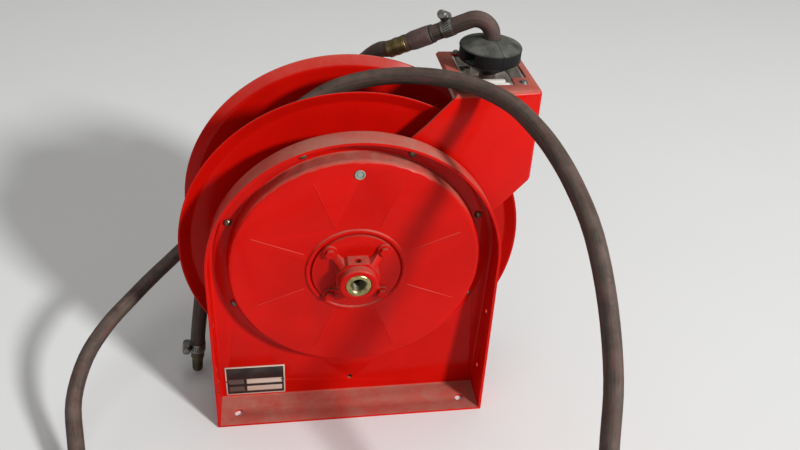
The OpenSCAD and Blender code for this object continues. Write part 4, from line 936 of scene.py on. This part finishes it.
class REEL_OT_fittings(bpy.types.Operator):
    """Adds the crimped ferrule with its collar, and the threaded end of the free hose"""
    bl_idname = "reel.fittings"
    bl_label = "Ferrule and nipple"

    def execute(self, context):
        start = FERRULE_END - FERRULE_WAY * FERRULE_LENGTH
        ferrule = turned(rounded(scaled([
            (4.9, 0), (9.7, 0), (10.0, 0.5), (10.4, 4), (10.4, 9.6), (10.25, 10.2), (10.4, 10.8),
            (10.4, 20), (10.0, 24), (9.3, 26), (9.3, 28.2), (8.9, 29), (4.9, 29),
            (4.9, 0)]), 0.7 * MM),
            facing(start, FERRULE_WAY), 72)
        crimp(ferrule, start, FERRULE_WAY)
        finished(ferrule, "crimped_ferrule", "frame", look("brown_steel"),
                 ("crimp_ferrule",), 38)
        collar_start = start - FERRULE_WAY * COLLAR_LENGTH
        collar = turned(rounded(scaled([
            (4.85, 0), (9.4, 0), (9.85, 0.5), (9.85, 2.5), (9.4, 3), (4.85, 3),
            (4.85, 0)]), 0.3 * MM),
            facing(collar_start, FERRULE_WAY), 64)
        finished(collar, "coupling_collar", "frame", look("dark_steel"),
                 ("hose_coupling",), 38)
        sleeve = turned(rounded(scaled([
            (8.8, 0), (9.5, 0.4), (9.7, 4), (9.3, 5.2), (9.3, 9), (9.7, 10.2), (9.7, 14),
            (9.3, 15.2), (9.3, 19), (9.6, 20.2), (9.5, 22.4), (8.9, 23), (8.8, 23),
            (8.8, 0)]), 0.5 * MM),
            facing(FERRULE_END, FERRULE_WAY), 64)
        finished(sleeve, "brass_sleeve", "frame", look("aged_brass"), (), 38)
        end, way = hose_tip()
        thread = [(4.0, 2.5), (4.0, 0.0), (7.6, 0.0), (8.2, 0.7), (8.2, 6.6), (7.5, 7.5),
                  (7.0, 8.0), (7.0, 10.6), (6.7, 11.6)]
        pitch, crests, thread_start, thread_length = 1.36, 11, 12, 15
        for k in range(crests):
            z = thread_start + pitch * k
            crest = 6.8 - 0.5 * (z - thread_start) / thread_length
            thread += [(crest, z), (crest, z + 0.25), (crest - 0.62, z + pitch / 2)]
        thread += [(5.9, 27.2), (5.5, 28), (4.3, 28), (4.0, 27.6), (4.0, 2.5)]
        nipple = turned(scaled(thread), facing(end, way), 56)
        finished(nipple, "hose_nipple", "frame", look("olive_brass"),
                 ("end_nipple",), 32)
        return {"FINISHED"}


class REEL_OT_discs(bpy.types.Operator):
    """Adds the spool's two pressed discs with rolled rims and the bead round the hub"""
    bl_idname = "reel.discs"
    bl_label = "Spool discs"

    def execute(self, context):
        sheet = 1.6 * MM
        bore = 20.1 * MM
        bead_start, bead_end, bead_height, bead_slope = 62 * MM, 72 * MM, 1.2 * MM, 2.5 * MM
        # On the back of the sheet the bead's corners lie a little further out or in
        shift = 0.4 * MM
        for node, side in (("front_disc", -1), ("rear_disc", 1)):
            low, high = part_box(node)
            radius = (high.x - low.x) / 2
            flat = high.y if side < 0 else low.y
            outer = [(bore, 0), (bead_start, 0), (bead_start + bead_slope, bead_height),
                     (bead_end - bead_slope, bead_height), (bead_end, 0),
                     (radius - 13 * MM, 0), (radius - 10 * MM, 0.8 * MM),
                     (radius - 0.9 * MM, 6.3 * MM), (radius - 0.2 * MM, 6.9 * MM)]
            back = [(radius - 0.1 * MM, 7.4 * MM), (radius - 0.9 * MM, 7.6 * MM),
                    (radius - 2.2 * MM, 7.4 * MM), (radius - 11.2 * MM, 2.5 * MM),
                    (radius - 13.6 * MM, sheet), (bead_end + shift, sheet),
                    (bead_end - bead_slope + shift, bead_height + sheet),
                    (bead_start + bead_slope - shift, bead_height + sheet),
                    (bead_start - shift, sheet), (bore, sheet), (bore, 0)]
            profile = rounded(outer + back, sheet, 3)
            place = Matrix.Translation((AXIS.x, flat, AXIS.z)) @ Matrix.Rotation(
                math.radians(90 if side < 0 else -90), 4, "X")
            disc = turned(profile, place, 160)
            finished(disc, node + "_pressing", "spool", look("red_paint"), (node,), 40)
        return {"FINISHED"}


class REEL_OT_frame(bpy.types.Operator):
    """Rounds the edges of the pressed frame, cover, foot and casting"""
    bl_idname = "reel.frame"
    bl_label = "Frame and casting"

    def execute(self, context):
        edge = context.scene.reel_sizes.edge
        for node, body, slot_name, width in (
                ("frame_plate", "frame", "red_paint", edge),
                ("rear_foot", "frame", "red_paint", edge),
                ("case_cover", "frame", "red_paint", edge * 0.6),
                ("hub_casting", "frame", "red_casting", 1.5 * MM),
                ("hub_bolts", "frame", "red_casting", 0.35 * MM),
                ("roller_bracket", "frame", "cream_nylon", 0.6 * MM),
                ("bumper_left", "frame", "black_rubber", 0.8 * MM),
                ("bumper_right", "frame", "black_rubber", 0.8 * MM),
                ("maker_plate", "frame", "black_plate", 0.2 * MM),
                ("ratchet_ring", "spool", "black_steel", 0.5 * MM),
                ("latch_pawl", "pawl", "black_steel", 0.5 * MM),
                ("shaft_nut", "frame", "zinc_steel", 0.8 * MM),
                ("main_shaft", "frame", "yellow_zinc", 0.4 * MM)):
            piece = merged_copy(node)
            bevelled(piece, width, 2)
            finished(piece, node + "_rounded", body, look(slot_name), (node,), 30)
        return {"FINISHED"}


class REEL_OT_guide_arm(bpy.types.Operator):
    """Bends the guide arm's front over its top and side with a wide press radius"""
    bl_idname = "reel.guide_arm"
    bl_label = "Guide arm"

    def execute(self, context):
        press_radius, press_steps = 4.4 * MM, 5
        shortest_bend = 12 * MM
        square, towards = 0.99, -0.9
        arm = merged_copy("guide_arm")
        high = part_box("guide_arm")[1]
        mesh = bmesh.new()
        mesh.from_mesh(arm.data)
        for item in (*mesh.verts, *mesh.edges, *mesh.faces):
            item.select = False
        for edge in mesh.edges:
            if len(edge.link_faces) != 2 or edge.calc_length() < shortest_bend:
                continue
            ways = [f.normal for f in edge.link_faces]
            centre = (edge.verts[0].co + edge.verts[1].co) / 2
            top = max(w.z for w in ways) > square
            side = max(w.x for w in ways) > square
            front = min(w.y for w in ways) < towards
            on_outside = centre.z > high.z - MM or centre.x > high.x - MM
            if on_outside and top + side + front > 1:
                edge.select = True
        mesh.select_flush(True)
        mesh.to_mesh(arm.data)
        mesh.free()
        on_its_own(arm)
        bpy.ops.object.mode_set(mode="EDIT")
        bpy.ops.mesh.bevel(
            offset=press_radius, segments=press_steps, affect="EDGES", clamp_overlap=False)
        bpy.ops.object.mode_set(mode="OBJECT")
        bevelled(arm, 0.6 * MM, 2, 50)
        finished(arm, "guide_arm_pressing", "frame", look("red_paint"),
                 ("guide_arm",), 35)
        return {"FINISHED"}


class REEL_OT_port(bpy.types.Operator):
    """Adds the inlet's thread inside the shaft and the case's plug with its rim"""
    bl_idname = "reel.port"
    bl_label = "Inlet thread and plug"

    def execute(self, context):
        pitch, crests, depth, lead_in = 1.34 * MM, 11, 17 * MM, 1.6 * MM
        wall, root, crest = 8.4 * MM, 8.05 * MM, 7.25 * MM
        thread = [(wall, depth), (wall, lead_in), (root, lead_in)]
        for k in range(crests):
            z = lead_in + pitch * k
            thread += [(crest, z + 0.45 * pitch), (crest, z + 0.6 * pitch), (root, z + pitch)]
        thread += [(root, depth), (wall, depth)]
        sleeve = turned(thread, on_axis(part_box("main_shaft")[0].y), 64)
        finished(sleeve, "inlet_thread", "frame", look("olive_brass"), (), 32)
        low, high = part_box("cover_plug")
        radius, deep = (high.x - low.x) / 2, high.y - low.y
        dish, wall, rim = 1.3 * MM, 1.5 * MM, 1.4 * MM
        plug = turned(rounded([
            (0, 0.45 * MM), (radius * 0.50, 0.45 * MM), (radius * 0.58, dish),
            (radius * 0.70, dish), (radius * 0.76, 0), (radius * 0.93, 0),
            (radius, 0.5 * MM), (radius, rim),
            (radius - wall, rim), (radius - wall, deep), (0, deep)], 0.25 * MM),
            facing(((low.x + high.x) / 2, low.y, (low.z + high.z) / 2), (0, 1, 0)), 48)
        finished(plug, "cover_plug_turned", "frame", look("grey_plastic"),
                 ("cover_plug",), 32)
        return {"FINISHED"}


class REEL_OT_rollers(bpy.types.Operator):
    """Adds the four nylon rollers with their turned ends"""
    bl_idname = "reel.rollers"
    bl_label = "Rollers"

    def execute(self, context):
        pin = 2.6 * MM
        shoulder, lip, lip_height, flank = 3.4 * MM, 3.0 * MM, 0.5 * MM, 1.2 * MM
        for side, way in (("left", "Y"), ("right", "Y"), ("front", "X"), ("rear", "X")):
            node = side + "_roller"
            low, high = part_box(node)
            size = high - low
            half = (size.y if way == "Y" else size.x) / 2
            radius = size.z / 2
            profile = rounded([
                (pin, -half), (radius - shoulder, -half), (radius - lip, -half + lip_height),
                (radius, -half + flank), (radius, half - flank), (radius - lip, half - lip_height),
                (radius - shoulder, half), (pin, half), (pin, -half)], 0.8 * MM)
            axis = Vector((0, 1, 0)) if way == "Y" else Vector((1, 0, 0))
            roller = turned(profile, facing((low + high) / 2, axis), 48)
            finished(roller, node + "_turned", "roller_" + side,
                     look("cream_nylon"), (node,), 35)
        return {"FINISHED"}


class REEL_OT_carried_over(bpy.types.Operator):
    """Gives every plain part of the frame its finish"""
    bl_idname = "reel.carried_over"
    bl_label = "Plain parts"

    def execute(self, context):
        finishes = {m["slot"] for m in frame["record"]["materials"]}
        for obj in NODES.values():
            for place in obj.material_slots:
                name = place.material.name.split(".")[0] if place.material else ""
                if name in finishes:
                    place.material = look(name)
                else:
                    raise RuntimeError(f"{obj.name} has no finish: {name}")
        return {"FINISHED"}


class REEL_PT_panel(bpy.types.Panel):
    """Lists the reel's steps in the sidebar"""
    bl_idname = "REEL_PT_panel"
    bl_label = "Hose Reel"
    bl_space_type = "VIEW_3D"
    bl_region_type = "UI"
    bl_category = "Hose Reel"

    def draw(self, context):
        for step in STEPS:
            self.layout.operator(step.bl_idname)
        for key in ("paint", "dust", "floor"):
            self.layout.prop(context.scene.reel_colours, key)
        for key in ("hose", "edge"):
            self.layout.prop(context.scene.reel_sizes, key)


# The clamps and fittings come before the free hose
STEPS = (REEL_OT_camera, REEL_OT_clamps, REEL_OT_fittings, REEL_OT_free_hose, REEL_OT_reel_hose,
         REEL_OT_wound_hose, REEL_OT_discs, REEL_OT_frame, REEL_OT_guide_arm, REEL_OT_port,
         REEL_OT_rollers, REEL_OT_carried_over, REEL_OT_stage)
CLASSES = (ReelColours, ReelSizes, *STEPS, REEL_PT_panel)


def register():
    """Adds the settings, steps and panel"""
    for kind in CLASSES:
        bpy.utils.register_class(kind)
    bpy.types.Scene.reel_colours = PointerProperty(type=ReelColours)
    bpy.types.Scene.reel_sizes = PointerProperty(type=ReelSizes)


def unregister():
    """Takes them away again"""
    del bpy.types.Scene.reel_sizes
    del bpy.types.Scene.reel_colours
    for kind in reversed(CLASSES):
        bpy.utils.unregister_class(kind)


def main():
    """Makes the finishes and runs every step"""
    register()
    make_looks()
    for step in STEPS:
        group, action = step.bl_idname.split(".")
        getattr(getattr(bpy.ops, group), action)()


if __name__ == "__main__":
    main()
